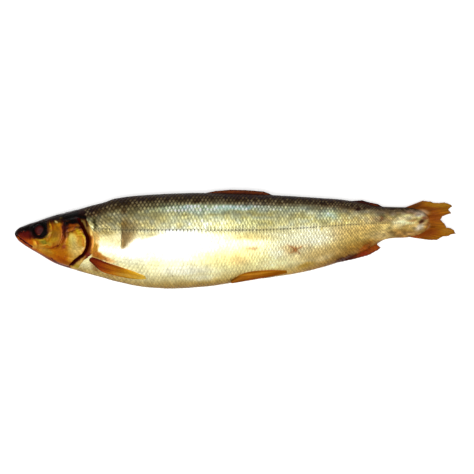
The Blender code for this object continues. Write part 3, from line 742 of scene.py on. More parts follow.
def paint_head(x, y, z, height, seed):
    """Colour of the head and the shoulder behind it."""
    ragged_x = x + 0.7 * noise(x, y, 3.0, seed + 4) + 0.3 * noise(x, y, 1.1, seed + 5)
    ragged_y = y + 0.7 * noise(x, y, 3.0, seed + 6) + 0.3 * noise(x, y, 1.1, seed + 7)
    colour = ramp(np.clip(height + 0.05 * noise(x, y, 6, seed), -1, 1), HEAD)
    colour = paint_marks(colour, ragged_x, ragged_y, HEAD_MARKS)
    for shade_x, shade_y, radius_x, radius_y, shares in HEAD_SHADES:
        amount = spot(x, y, shade_x, shade_y, radius_x, radius_y, 0, 1.2)[..., None]
        colour = colour * (1 + amount * (np.array(shares) - 1))
    throat = paint_trunk(x, y, height, seed)
    throat = mix(throat, (202, 172, 116), 0.9 * (1 - smooth_step(height, -0.72, -0.4)))
    throat = paint_marks(throat, ragged_x, ragged_y, THROAT_MARKS)
    behind = smooth_step(x - GILL_X - gill_shift(height), 0.5, 3.0)
    colour = colour + (throat - colour) * behind[..., None]
    for line, width, tint, strength in HEAD_LINES:
        colour = mix(colour, tint, strength * stroke(ragged_x, ragged_y, line, width, 1.5))
    # bare skin takes the smoke deeper than scales do
    deeper = 255 * (colour / 255) ** np.array((1.28, 1.36, 1.6))
    # the black of the crown is brown in places, browner towards the trunk, and has lighter streaks along
    # its top edge that are painted soft highlights
    crown = smooth_step(height, 0.5, 0.75) * (0.25 + 0.75 * smooth_step(x, 44, 62))
    brown = np.clip(0.35 + 0.9 * rough_noise(x, y, 3.5, seed + 14), 0, 1)
    deeper = mix(deeper, (66, 47, 30), 0.6 * crown * brown)
    highlight_streaks = np.clip(0.4 + 0.9 * rough_noise(x * 0.45, z, 2.6, seed + 20), 0, 1)
    deeper = mix(deeper, (92, 62, 36), 0.6 * smooth_step(height, 0.8, 0.96) * highlight_streaks)
    # its edge towards the scales is ragged
    edge = x + 6 * crown * rough_noise(x, z + y, 4, seed + 21)
    scaled = smooth_step(edge, 62 - 5 * crown, 67 + 2 * crown)[..., None]
    return deeper * (1 - scaled) + colour * scaled


def mottled(colour, x, y, amount, seed):
    """Small uneven spots of lighter and darker smoke."""
    speck = amount * (0.6 * noise(x, y, 1.3, seed) + 0.6 * noise(x, y, 4.5, seed + 1))
    return np.clip(colour * (1 + speck[..., None]), 0, 255)


def linear(colour):
    """sRGB from 0 to 255 as linear values, less the light that the glossy skin adds, with alpha 1."""
    c = np.clip(colour / 255, 0, 1)
    value = np.where(c <= 0.04045, c / 12.92, ((c + 0.055) / 1.055) ** 2.4)
    value = np.maximum((value - GLARE) / EXPOSURE, 0.15 * value)
    return np.concatenate([value, np.ones(value.shape[:-1] + (1,))], axis=-1)


# Meshes


def make_mesh(name, points, quads, colour, gloss, uv, material, detail=None):
    """A smooth-shaded piece with its painted colour, gloss and optional detail stored in its points."""
    points = to_row(points).reshape(-1, 3)
    count = len(points)
    mesh = bpy.data.meshes.new(name)
    mesh.vertices.add(count)
    mesh.vertices.foreach_set("co", points.astype(np.float32).ravel())
    mesh.loops.add(quads.size)
    mesh.loops.foreach_set("vertex_index", quads.astype(np.int32).ravel())
    mesh.polygons.add(len(quads))
    mesh.polygons.foreach_set("loop_start", np.arange(0, quads.size, 4, dtype=np.int32))
    mesh.update(calc_edges=True)
    mesh.validate()
    paint = mesh.color_attributes.new("paint", "FLOAT_COLOR", "POINT")
    paint.data.foreach_set("color", linear(colour).astype(np.float32).ravel())
    shine = mesh.attributes.new("gloss", "FLOAT", "POINT")
    shine.data.foreach_set("value", np.broadcast_to(np.ravel(gloss), (count,)).astype(np.float32))
    if detail is not None:
        store = mesh.attributes.new("scale", "FLOAT_VECTOR", "POINT")
        store.data.foreach_set("vector", detail.astype(np.float32).ravel())
    layer = mesh.uv_layers.new(name="OFBake")
    corner = np.zeros(len(mesh.loops), np.int32)
    mesh.loops.foreach_get("vertex_index", corner)
    layer.data.foreach_set("uv", uv[corner].astype(np.float32).ravel())
    mesh.materials.append(material)
    mesh.shade_smooth()
    made = bpy.data.objects.new(name, mesh)
    bpy.context.scene.collection.objects.link(made)
    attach(made, "root")
    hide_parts("fish")
    return made


def grid_quads(rows, columns, closed=False):
    """Quads of a grid of points, joined up round its columns if closed."""
    i, j = np.meshgrid(np.arange(rows - 1), np.arange(columns if closed else columns - 1), indexing="ij")
    after = (j + 1) % columns
    a, b = i * columns + j, i * columns + after
    return np.stack([a, b, b + columns, a + columns], axis=-1).reshape(-1, 4)


def grid_uv(rows, columns):
    """UV of a grid of points, a little inside the unit square."""
    u, v = np.meshgrid(np.linspace(0.01, 0.99, rows), np.linspace(0.01, 0.99, columns), indexing="ij")
    return np.stack([u, v], axis=-1).reshape(-1, 2)


def outward(evaluate, u, v, step_u, step_v):
    """Unit normals of a surface given as evaluate(u, v)."""
    along_u = evaluate(u + step_u, v) - evaluate(u - step_u, v)
    along_v = evaluate(u, v + step_v) - evaluate(u, v - step_v)
    normal = np.cross(along_v, along_u)
    return normal / np.maximum(np.linalg.norm(normal, axis=-1, keepdims=True), 1e-9)


# Scaled flanks


def girth_table():
    """Angles at even steps round the half girth, for many sections along the body, and the girths."""
    sections = np.linspace(SCALE_FROM - 3, BODY_END - 0.1, 220)
    angles = np.linspace(0, math.pi, 181)
    u, angle = np.meshgrid(sections, angles, indexing="ij")
    points = plain_skin(u, angle)
    run = np.cumsum(np.linalg.norm(np.diff(points, axis=1), axis=-1), axis=1)
    run = np.hstack([np.zeros((len(sections), 1)), run])
    even = np.linspace(0, 1, 97)
    table = np.array([np.interp(even, r / r[-1], angles) for r in run])
    return sections, even, table, run[:, -1]


def table_value(sections, even, table, u, t):
    """The table's value at section u and girth share t."""
    i = np.clip((u - sections[0]) / (sections[1] - sections[0]), 0, len(sections) - 1.001)
    j = np.clip(t * (len(even) - 1), 0, len(even) - 1.001)
    a, b = i.astype(int), j.astype(int)
    fi, fj = i - a, j - b
    low = table[a, b] * (1 - fj) + table[a, b + 1] * fj
    high = table[a + 1, b] * (1 - fj) + table[a + 1, b + 1] * fj
    return low * (1 - fi) + high * fi


def calmness(x, y, height):
    """How flat the scales lie: 1 on the silver of the side, 0 on the back, belly and tail."""
    share = smooth_step(height, -0.8, -0.45) * (1 - smooth_step(height, 0.48, 0.62))
    # in front, only the scales below the silver's upper edge lie flat
    top = np.interp(x, (60, 92, 104, 114), (-11, -11, -2, 3))
    share = share * (0.28 + 0.72 * (1 - smooth_step(y, top - 5, top)))
    share = share * smooth_step(np.abs(y - lateral_line(x)), 1.3, 2.2)
    return share * (1 - smooth_step(x, 150, 222))


def paint_calm(colour, x, y, height, seed):
    """Scales that lie flat catch more light, so their paint is darker, and a little uneven."""
    calm = calmness(x, y, height)
    light = np.sqrt(calm) * (1 - 0.62 * smooth_step(y, -2, 6))
    colour = 255 * (colour / 255) ** (1 + light[..., None] * np.array((0.85, 0.85, 0.62)))
    fine = noise(x, y, 1.4, seed + 26) + noise(x * 0.4, y, 2.0, seed + 27)
    return colour * (1 + 0.03 * calm * fine)[..., None]


def make_flank(name, side, material, seed):
    """One flank as overlapping scales: each row of scales is offset by half a scale from the next,
    each scale rises to a rounded free edge, and steps down to the scale behind it."""
    sections, even, table, girth = girth_table()
    pitch = SCALE_LENGTH * np.clip(girth / girth.max(), 0.12, 1) ** 0.38
    count_at = np.concatenate([[0], np.cumsum(np.diff(sections) / ((pitch[1:] + pitch[:-1]) / 2))])
    first = np.interp(SCALE_FROM, sections, count_at)

    def section_at(scales):
        return np.minimum(np.interp(scales + first, count_at, sections), BODY_END - 0.15)

    def evaluate(u, share):
        angle = table_value(sections, even, table, u, np.clip(share, 0, 1))
        return plain_skin(u, angle)

    # the free edges, in scales from the front: one line for each half step along the body
    t = np.linspace(0, 1, SCALE_ROWS * POINTS_PER_ROW + 1)
    row_place = t * SCALE_ROWS
    n = np.arange(int((count_at[-1] - first) * 2))[:, None]
    row = np.where(n % 2 == 0, np.round(row_place / 2) * 2, np.round((row_place - 1) / 2) * 2 + 1)
    across = np.clip(row_place - row, -1, 1)
    ragged = 0.10 * (random_at(n, row, seed) - 0.5)
    edge = n / 2 + 0.5 * np.sqrt(np.clip(1 - across**2, 0, 1)) + ragged * (1 - across**2)
    edge = np.maximum.accumulate(edge, axis=0)
    hind, front = edge[1:, None], edge[:-1, None]
    row, across, index = row[1:, None], across[1:, None], (n + 0 * row)[1:, None]
    tilt = 0.75 + 0.5 * random_at(index, row, seed + 3)

    # three lines of points between two edges; where the scales lie flat, their edges slope
    ring = evaluate(section_at(hind), t)
    x, y = ring[..., 0], ring[..., 1]
    calm = 0.24 * calmness(x, y, height_of(x, y))
    share = np.array((0.0, 0.5, 1.0))[:, None]
    place = front + (hind - front) * (share + (1 - share) * calm)
    fall = np.clip(hind - place, 0, 1.2)
    lift = tilt * (1 - fall) + 0.2 * (1 - across**2)
    across, row, index, t = (np.broadcast_to(a, place.shape) for a in (across, row, index, t))

    u = section_at(place)
    base = evaluate(u, t)
    normal = outward(evaluate, u, t, 0.3, 0.004)
    flat_ends = (t < 0.003) | (t > 0.997)
    normal[..., 2] = np.where(flat_ends, 0, normal[..., 2])
    normal /= np.linalg.norm(normal, axis=-1, keepdims=True)
    x, y = base[..., 0], base[..., 1]
    height = height_of(x, y)
    silver = smooth_step(height, -0.6, -0.3) * (1 - smooth_step(height, 0.0, 0.15))
    silver = silver * (1 - smooth_step(x, 220, 260))
    size = np.interp(u, sections, pitch) / SCALE_LENGTH
    lift = (SCALE_LIFT * lift - 0.1) * (1 - 0.72 * silver)
    dents = 0.25 * noise(x, y, 23, seed + 20) + 0.12 * noise(x, y, 9, seed + 21)
    out = lift * size * smooth_step(u, SCALE_FROM, SCALE_FROM + 3) + dents
    points = base + normal * (out - 0.6 * crease_shade(x, y))[..., None]
    points[..., 2] *= side

    colour = paint_calm(paint_trunk(x, y, height, seed), x, y, height, seed)
    colour = paint_scales(colour, x, y, height, fall, across, row, index, seed)
    colour = mottled(colour, x, y, 0.075, seed + 30)
    gloss = 0.54 - 0.2 * smooth_step(height, 0.7, 0.8)
    gloss = gloss + 0.12 * (random_at(index, row, seed + 5) - 0.5)
    # how far each point is from the lateral line, in rows, and only on the row that it runs along
    middle = evaluate(u, row / SCALE_ROWS)
    row_depth = np.interp(u, sections, girth) / SCALE_ROWS
    line_across = (middle[..., 1] - lateral_line(middle[..., 0])) / row_depth
    off_line = np.where(np.abs(line_across) < 0.5, across - line_across, FAR_OFF)
    off_line = off_line + FAR_OFF * (x < 67)
    detail = np.stack([fall, across, off_line], axis=-1)
    rows, columns = place.shape[0] * 3, place.shape[2]
    quads = grid_quads(rows, columns)
    if side > 0:
        quads = quads[:, ::-1]
    uv = grid_uv(rows, columns)
    return make_mesh(name, points, quads, colour, gloss, uv, material, detail)


def paint_scales(colour, x, y, height, fall, across, row, index, seed):
    """Each scale's own tone, its bright middle, which is a painted glint, and its dark edge, partly
    painted shade.
    """
    own = random_at(index, row, seed + 7)
    glint = random_at(index, row, seed + 8)
    middle = np.exp(-(((fall - 0.42) / 0.30) ** 2 + (across / 0.55) ** 2))
    rim = 1 - middle
    upper = smooth_step(height, 0.05, 0.35)
    strip = smooth_step(height, 0.50, 0.62) * (1 - smooth_step(height, 0.80, 0.86))
    hind = smooth_step(x, 190, 250)
    patchy = 0.75 + 0.5 * noise(x, y * 2, 17, seed + 9)
    contrast = (0.035 + 0.075 * upper + 0.18 * strip * (1 - 0.7 * hind) + 0.015 * hind) * patchy
    # painted glint in each scale's middle, and a darker edge that is partly painted shade
    shade = 1 + contrast * (3.0 * middle * (0.4 + 1.2 * glint) - 0.72 * rim * (0.5 + own))
    shade = shade * (1 + (0.04 + 0.08 * upper + 0.05 * hind) * (random_at(index, row, 17 + seed) - 0.5))
    colour = colour * shade[..., None]
    dark_back = smooth_step(height, 0.70, 0.78) * (1 - 0.75 * smooth_step(height, 0.86, 0.95))
    # painted glints on the middles of the dark back's scales
    painted_glints = dark_back * middle**1.3 * smooth_step(glint, 0.1, 0.8)
    colour = mix(colour, (22, 13, 6), 0.4 * dark_back * (1 - middle) * smooth_step(height, 0.76, 0.84))
    return mix(colour, (172, 158, 120), 0.75 * painted_glints)


# Head

# Ridges and grooves of the head: how far they stand out, points, half width
HEAD_RIDGES = (
    (-1.5, MOUTH, 0.55),
    (0.35, ((2, 1.2), (8, -3.4), (13.6, -7.4), (17, -10.6)), 1),
    (-0.75, CHEEK_EDGE, 0.8),
    (0.35, ((43, 9), (42.6, -3), (39.6, -11), (32, -14.2)), 1.1),
    (-0.45, ((42.6, -9.6), (48, -12), (54, -11.4), (58.6, -8.4)), 0.6),
    (-0.35, ((42, -17.8), (48, -19.4), (52, -17.6)), 0.5),
    (-0.3, ((43.4, 1.4), (47, 2), (51.4, 4)), 0.6),
)


def head_relief(x, y, height, seed):
    """How far the bones and folds of the head stand out from the plain skin."""
    eye = np.hypot(x - EYE_X, y - EYE_Y)
    out = 0.55 * smooth_step(x, 40, GILL_X + 1) * smooth_step(height, -0.95, -0.7)
    out -= 1.5 * (1 - smooth_step(eye, 4.6, 7.0))
    out += 0.35 * np.exp(-(((eye - 7.6) / 0.9) ** 2)) * (height < 0.75)
    out -= 0.25 * np.exp(-(((eye - 10.4) / 0.8) ** 2)) * smooth_step(x, 20, 26)
    out += 0.4 * spot(x, y, 17.4, -8.2, 1.1, 3.4, 22, 1.5)
    for nostril in ((6.6, 1.9), (8.6, 2.7)):
        out -= 0.8 * spot(x, y, *nostril, 0.75, 0.6)
    for height_out, line, width in HEAD_RIDGES:
        out += height_out * stroke(x, y, line, width)
    out += 0.40 * spot(x, y, 49.0, -4.0, 5.0, 7.0, 14)
    ridges = np.sin(np.arctan2(y + 1.0, x - 42.5) * 34) * smooth_step(np.hypot(x - 42.5, y + 1.0), 3, 8)
    out += 0.06 * ridges * smooth_step(x, 43.5, 46) * (height > -0.6) * (height < 0.4)
    top = smooth_step(height, 0.45, 0.7)
    out += top * (0.18 * rough_noise(x, y, 3.4, seed) + 0.10 * noise(x, y, 1.2, seed + 1))
    out += 0.10 * rough_noise(x, y, 4.0, seed + 2) + 0.05 * noise(x, y, 0.9, seed + 3)
    return out


# The rings behind the gill cover's edge, which fold forward under it and come back as the
# shoulder: section and depth where the gap is open, and section where it is closed
GILL_FOLD = (
    (59.4, -0.25, 59.5),
    (59.2, -0.8, 59.6),
    (58.5, -1.6, 59.75),
    (57.4, -2.3, 59.9),
    (57, -2.8, 60.05),
    (58, -2.9, 60.2),
    (59.2, -2.55, 60.4),
    (60.2, -2.05, 60.7),
    (61, -1.45, 61.1),
    (61.6, -0.8, 61.6),
    (62.1, -0.25, 62.1),
    (62.6, 0.1, 62.6),
    (63.1, 0.28, 63.1),
    (63.7, 0.36, 63.7),
    (64.3, 0.38, 64.3),
    (64.9, 0.36, 64.9),
    (65.5, 0.3, 65.5),
    (66.1, 0.14, 66.1),
    (66.7, -0.2, 66.7),
    (67.2, -0.8, 67.2),
)


def make_head(material, seed):
    """The head with its gill covers, the gap behind them and the bony shoulder band."""
    columns = 320
    angles = np.arange(columns) * 2 * math.pi / columns
    open_part = smooth_step(np.cos(angles), GILL_FROM - 0.02, GILL_FROM + 0.06)
    open_part = open_part * (1 - smooth_step(np.cos(angles), GILL_TO - 0.06, GILL_TO + 0.1))
    snout = [0.03, 0.12, 0.3, 0.55, 0.85]
    front = np.concatenate([snout, np.arange(1.2, GILL_X - 0.1, 0.42), [GILL_X - 0.03]])
    u = np.repeat(front[:, None], columns, axis=1)
    fold = np.zeros_like(u)
    step = np.zeros_like(u)
    for open_u, depth, closed_u in GILL_FOLD:
        closed_depth = min(depth, 0.0) * (closed_u > 66)
        u = np.vstack([u, closed_u + (open_u - closed_u) * open_part])
        fold = np.vstack([fold, depth * open_part + closed_depth * (1 - open_part)])
        step = np.vstack([step, np.ones(columns)])
    angle = np.broadcast_to(angles, u.shape)
    base = plain_skin(u, angle)
    normal = outward(plain_skin, np.maximum(u, 0.4), angle, 0.3, 0.01)
    x, y, z = (base[..., axis] for axis in range(3))
    height = np.broadcast_to(np.cos(angles), u.shape)
    flat = smooth_step(section(x)[3], 0.8, 5) * np.abs(np.sin(angle)) ** 0.5
    relief = head_relief(x, y, height, seed) * flat
    cover = 0.9 * smooth_step(u, 40, GILL_X) * open_part * (1 - step)
    # where the gill opening ends, on the back and under the throat, the head runs into the trunk
    joined = (1 - open_part) * smooth_step(u, 46, GILL_X)
    under = relief * (1 - step) * (1 - joined) + 0.08 * noise(x, y, 2.5, seed + 9) * step
    # low, lengthwise wrinkles on the top of the skull
    wrinkles = noise(x * 0.3, z, 1.3, seed + 22) + 0.7 * noise(x * 0.8, z, 1.9, seed + 23)
    skull = smooth_step(height, 0.82, 0.95) * smooth_step(x, 4, 14) * (1 - smooth_step(x, 52, 62))
    under = under + 0.13 * wrinkles * skull
    first_folds = np.arange(len(u))[:, None] < len(front) + 2
    over_edge = np.where(step > 0, 0.9 * open_part * first_folds, 0)
    points = base + normal * (under + cover + over_edge + fold)[..., None]
    colour = paint_head(x, y, z, height, seed)
    inside = (step > 0) & (fold < -0.6) & (u < 62)
    colour = np.where(inside[..., None], np.array((58.0, 20.0, 8.0)), colour)
    colour = mottled(colour, x, y, 0.09, seed + 11)
    gloss = 0.55 + 0.2 * noise(x, y, 5, seed + 12)
    quads = grid_quads(len(u), columns, closed=True)[:, ::-1]
    return make_mesh("head", points, quads, colour, gloss, grid_uv(len(u), columns), material)


def make_eye(name, side, material, seed):
    """A sunken eye: dull reddish brown disc in a nearly black rim."""
    count = 56
    a, b = np.meshgrid(np.linspace(-1, 1, count), np.linspace(-1, 1, count), indexing="ij")
    across, up = a * np.sqrt(1 - b**2 / 2), b * np.sqrt(1 - a**2 / 2)
    r = np.minimum(np.hypot(across, up), 1)
    x, y = EYE_X + EYE_RADIUS * across, EYE_Y + EYE_RADIUS * up
    surface = float(skin_height(np.array(EYE_X), np.array(EYE_Y)))
    dome = EYE_DEPTH * np.sqrt(1 - r**2)
    ring = -0.22 * np.exp(-(((r - 0.78) / 0.07) ** 2)) - 0.45 * (1 - smooth_step(r, 0.0, 0.8))
    z = surface - EYE_DEPTH - 0.3 + dome + ring + 0.05 * noise(x, y, 1.8, seed)
    colour = ramp(r + 0.05 * noise(x, y, 1.0, seed + 1), EYE)
    colour = paint_marks(colour, x - EYE_X, y - EYE_Y, EYE_MARKS)
    points = np.stack([x, y, side * z], axis=-1)
    quads = grid_quads(count, count)
    if side > 0:
        quads = quads[:, ::-1]
    return make_mesh(name, points, quads, colour, 0.4, grid_uv(count, count), material)


# Fins


def along(line, v):
    """Points at shares v of a line's length."""
    line = np.array(line, float)
    run = np.concatenate([[0], np.cumsum(np.hypot(*np.diff(line, axis=0).T))])
    return np.stack([np.interp(v, run / run[-1], line[:, i]) for i in (0, 1)], axis=-1)


def rounded(line):
    """The line with its corners rounded off."""
    line = np.array(line, float)
    for _ in range(2):
        cut = np.stack([0.75 * line[:-1] + 0.25 * line[1:], 0.25 * line[:-1] + 0.75 * line[1:]], axis=1)
        line = np.vstack([line[:1], cut.reshape(-1, 2), line[-1:]])
    return line


def fin_grid(rays, steps):
    """u from root to tip and v across the fin, with the phase of each column between two rays."""
    columns = rays * 6 + 1
    u, v = np.meshgrid(np.linspace(0, 1, steps + 1), np.linspace(0, 1, columns), indexing="ij")
    return u, v, v * rays


def ray_relief(u, phase, root, tip):
    """Half thickness of a fin: rays that fork and flatten towards the tip, with thin skin between."""
    ridge = 0.5 + 0.5 * np.cos(2 * math.pi * phase)
    forked = 0.5 + 0.5 * np.cos(4 * math.pi * phase)
    fork = smooth_step(u, 0.45, 0.75)
    shape = 0.3 + 0.7 * (ridge * (1 - fork) + forked * fork) ** 1.5
    joints = 1 + 0.10 * np.cos(2 * math.pi * u * 26) * fork
    return (tip + (root - tip) * (1 - u) ** 1.5) * shape * joints


def paint_fin(u, phase, stops, seed):
    """Fin colour from root to tip, darker between the rays and streaked along them."""
    ridge = 0.5 + 0.5 * np.cos(2 * math.pi * phase)
    streak = noise(phase * 3.0, u * 6.0, 1.0, seed) * 0.6 + noise(phase, u * 3.0, 2.2, seed + 1) * 0.6
    colour = ramp(np.clip(u + 0.08 * streak, 0, 1), stops)
    shade = 1 + 0.22 * (ridge - 0.5) + 0.16 * streak
    colour = 255 * (colour / 255) ** np.array((1.0, 1.0, 1.25))
    return np.clip(colour * shade[..., None], 0, 255)


def fin_mesh(name, front, rear, colour, material):
    """A closed plate from two grids of points that lie opposite each other."""
    rows, columns = front.shape[:2]
    count = rows * columns
    face = grid_quads(rows, columns)
    rim = list(range(columns))
    rim += [i * columns + columns - 1 for i in range(1, rows)]
    rim += [(rows - 1) * columns + j for j in range(columns - 2, -1, -1)]
    rim += [i * columns for i in range(rows - 2, 0, -1)]
    rim = np.array(rim)
    after = np.roll(rim, -1)
    side = np.stack([rim, after, after + count, rim + count], axis=-1)
    quads = np.vstack([face[:, ::-1], face + count, side])
    points = np.vstack([front.reshape(-1, 3), rear.reshape(-1, 3)])
    colour = np.vstack([colour.reshape(-1, 3), colour.reshape(-1, 3)])
    uv = grid_uv(rows, columns)
    uv = np.vstack([uv * (0.49, 1), uv * (0.49, 1) + (0.5, 0)])
    made = make_mesh(name, points, quads, colour, 0.4, uv, material)
    bpy.context.view_layer.objects.active = made
    bpy.ops.object.mode_set(mode="EDIT")
    bpy.ops.mesh.select_all(action="SELECT")
    bpy.ops.mesh.normals_make_consistent(inside=False)
    bpy.ops.object.mode_set(mode="OBJECT")
    return made


def make_upright_fin(name, root, tip, grid, half, paint, torn, material, seed, wave=0.0):
    """A fin in the mid plane, with rays from the root line to the tip line and a torn edge.

    grid is (rays, steps), half the half thickness at the root and tip, paint (stops, marks)."""
    rays, steps = grid
    u, v, phase = fin_grid(rays, steps)
    root_points, tip_points = along(root, v), along(tip, v)
    length = np.linalg.norm(tip_points - root_points, axis=-1)
    ragged = torn * (0.5 + 0.5 * noise(phase, 0 * phase, 1.6, seed))
    ragged = ragged + 0.35 * torn * (0.5 - 0.5 * np.cos(2 * math.pi * phase))
    reach = u * (1 - ragged * np.minimum(1, 0.3 * length) / np.maximum(length, 1))
    side_view = root_points * (1 - reach[..., None]) + tip_points * reach[..., None]
    x, y = side_view[..., 0], side_view[..., 1]
    middle = wave * u * (np.sin(2 * math.pi * v) + 0.35 * noise(x, y, 6, seed + 2))
    thick = ray_relief(u, phase, *half)
    front, rear = (np.stack([x, y, middle + thick * way], axis=-1) for way in (1, -1))
    colour = paint_marks(paint_fin(u, phase, paint[0], seed), x, y, paint[1])
    return fin_mesh(name, front, rear, colour, material)


def fin_root(root_x, tip, count):
    """The root line of a fin that stands on the back or hangs under the belly."""
    x = np.linspace(*root_x, count)
    above = tip[0][1] > 0
    root_y = back(x) - FIN_ROOT_DEPTH if above else belly(x) + FIN_ROOT_DEPTH
    return np.stack([x, root_y], axis=-1)


def make_paired_fin(name, upper, lower, side, rays, paint, material, seed):
    """A fin folded back against the flank on the side given by 1 or -1."""
    u, v, phase = fin_grid(rays, 40)
    ragged = u * (1 - 0.02 * (0.5 + 0.5 * noise(phase, 0 * phase, 1.3, seed)))
    low, high = along(rounded(lower), ragged), along(rounded(upper), ragged)
    side_view = high * (1 - v[..., None]) + low * v[..., None]
    side_view[..., 0] += 1.8 * (1 - u) ** 3 * (2 * v - 1) ** 2
    x, y = side_view[..., 0], side_view[..., 1]
    y = np.maximum(y, belly(x) + 0.3)
    normal_y, normal_z = flank_normal(x, y)
    edge = np.minimum(1, 6 * np.minimum(v, 1 - v)) ** 0.6
    out = 0.35 + (0.35 + 0.75 * (1 - u)) * edge + 1.3 * (ray_relief(u, phase, 0.45, 0.25) - 0.2)
    layers = []
    for lift in (out, -1.2 + 0 * out):
        z = side * (skin_height(x, y) + lift * normal_z)
        layers.append(np.stack([x, y + lift * normal_y, z], axis=-1))
    colour = paint_marks(paint_fin(u, phase, paint[0], seed), x, y, paint[1])
    return fin_mesh(name, *layers, colour, material)


# Fin colours from root to tip, and marks on the fins as on the trunk
TAIL_STOPS = (
    (0, (140, 92, 62)),
    (0.3, (114, 56, 20)),
    (0.55, (126, 66, 18)),
    (0.8, (144, 86, 24)),
    (1, (134, 84, 30)),
)
TAIL_MARKS = (
    (346, 24, 11, 2.6, 0, (158, 112, 34), 0.8, 1.6),
    (343, 13, 7, 4, 0, (122, 58, 12), 0.75, 1.4),
    (340, 20, 6, 1.4, 12, (116, 62, 20), 0.6, 1.4),
    (336, 1, 9, 3.2, 0, (124, 58, 20), 0.75, 1.4),
    (352, 2.4, 6, 3, 0, (152, 104, 40), 0.75, 1.4),
    (347, 6, 6, 1.4, 10, (150, 92, 26), 0.6, 1.4),
    (326, 22.6, 8, 1.4, 30, (92, 54, 34), 0.8, 1.3),
    (333, 18, 5, 2.2, -14, (190, 158, 122), 0.85, 1.4),
    (334, 13, 2.6, 1.6, 0, (120, 64, 44), 0.8, 1.4),
    (332, 10, 2.4, 1.6, 0, (60, 26, 14), 0.9, 1.8),
    (333, 5.6, 5, 2.6, 20, (228, 208, 184), 0.85, 1.4),
    (326, -2, 6, 1.4, 0, (150, 74, 50), 0.7, 1.3),
)
DORSAL_STOPS = (
    (0, (34, 18, 10)),
    (0.5, (52, 26, 12)),
    (0.75, (84, 40, 16)),
    (0.9, (88, 44, 20)),
    (1, (48, 22, 10)),
)
ADIPOSE_STOPS = ((0, (40, 20, 10)), (0.6, (60, 28, 12)), (1, (36, 14, 8)))
ADIPOSE_MARKS = ((293, 23.8, 4, 1.1, -20, (112, 52, 18), 0.6),)
ANAL_STOPS = ((0, (92, 48, 10)), (0.5, (106, 46, 4)), (0.8, (118, 54, 4)), (1, (96, 40, 4)))
ANAL_MARKS = (
    (270, -20.6, 9, 2.6, 16, (60, 26, 6), 0.95, 1.8),
    (284, -16.6, 4, 1.8, 20, (120, 40, 14), 0.8, 1.4),
    (292, -10, 4, 3.4, 0, (144, 70, 8), 0.7, 1.4),
)
PECTORAL_STOPS = (
    (0, (104, 34, 20)),
    (0.2, (124, 48, 16)),
    (0.45, (164, 96, 28)),
    (0.75, (184, 134, 44)),
    (1, (206, 170, 86)),
)
PECTORAL_MARKS = (
    (72, -21.6, 8, 1, -24, (88, 26, 22), 0.8),
    (67, -27, 1.2, 5, 42, (60, 26, 8), 0.8),
    (84, -26.6, 7, 1, -17, (130, 70, 20), 0.7),
    (92, -33, 10, 1.3, -10, (190, 150, 70), 0.7, 1.3),
)
PELVIC_STOPS = (
    (0, (130, 80, 30)),
    (0.25, (146, 88, 26)),
    (0.5, (156, 94, 28)),
    (0.8, (152, 84, 24)),
    (1, (168, 106, 40)),
)
PELVIC_MARKS = (
    (198, -31.4, 16, 0.8, 6, (196, 134, 46), 0.7),
    (200, -34.4, 18, 1, 9, (128, 64, 20), 0.75),
    (182, -36.8, 6, 1.6, 16, (130, 76, 30), 0.7, 1.3),
)


def make_fins(material):
    """All fins, with the same outlines as the solid's."""
    paint = (TAIL_STOPS, TAIL_MARKS)
    make_upright_fin(
        "tail_fin", TAIL_ROOT, TAIL_TIP, (34, 26), (0.85, 0.34), paint, 1.0, material, 41, wave=0.8
    )
    for name, root_x, tip, grid, half, paint, torn, seed in (
        ("dorsal", DORSAL_ROOT_X, DORSAL_TIP, (14, 12), (1.1, 0.4), (DORSAL_STOPS, ()), 0.3, 42),
        (
            "adipose", ADIPOSE_ROOT_X, ADIPOSE_TIP, (9, 12), (1.1, 0.45), (ADIPOSE_STOPS, ADIPOSE_MARKS),
            0.3, 43,
        ),
        ("anal", ANAL_ROOT_X, ANAL_TIP, (14, 14), (1.1, 0.4), (ANAL_STOPS, ANAL_MARKS), 0.6, 44),
    ):
        root = fin_root(root_x, tip, grid[0])
        make_upright_fin(name + "_fin", root, tip, grid, half, paint, torn, material, seed)
    for side, name in ((1, "left"), (-1, "right")):
        paint = (PECTORAL_STOPS, PECTORAL_MARKS)
        make_paired_fin(
            "pectoral_fin_" + name, PECTORAL_UPPER, PECTORAL_LOWER, side, 11, paint, material, 45 + side
        )
        paint = (PELVIC_STOPS, PELVIC_MARKS)
        make_paired_fin(
            "pelvic_fin_" + name, PELVIC_UPPER, PELVIC_LOWER, side, 10, paint, material, 48 + side
        )


# Materials


def new_material(name):
    """An empty Principled material: (material, nodes, links, shader)."""
    made = bpy.data.materials.new(name)
    made.use_nodes = True
    tree = made.node_tree
    return made, tree.nodes, tree.links, tree.nodes["Principled BSDF"]


def attribute(nodes, name):
    """A node that reads one of the piece's attributes."""
    node = nodes.new("ShaderNodeAttribute")
    node.attribute_name = name
    return node


def noise_node(nodes, links, scale, detail):
    """Noise in the row's frame, so it doesn't depend on the UVs."""
    place = nodes.new("ShaderNodeTexCoord")
    node = nodes.new("ShaderNodeTexNoise")
    node.inputs["Scale"].default_value = scale
    node.inputs["Detail"].default_value = detail
    node.inputs["Roughness"].default_value = 0.6
    links.new(place.outputs["Object"], node.inputs["Vector"])
    return node


def math_node(nodes, links, operation, a, b, c=None):
    """A math node whose inputs are sockets or numbers."""
    node = nodes.new("ShaderNodeMath")
    node.operation = operation
    for i, value in enumerate((a, b, c)):
        if value is None:
            continue
        if isinstance(value, bpy.types.NodeSocket):
            links.new(value, node.inputs[i])
        else:
            node.inputs[i].default_value = value
    return node.outputs[0]


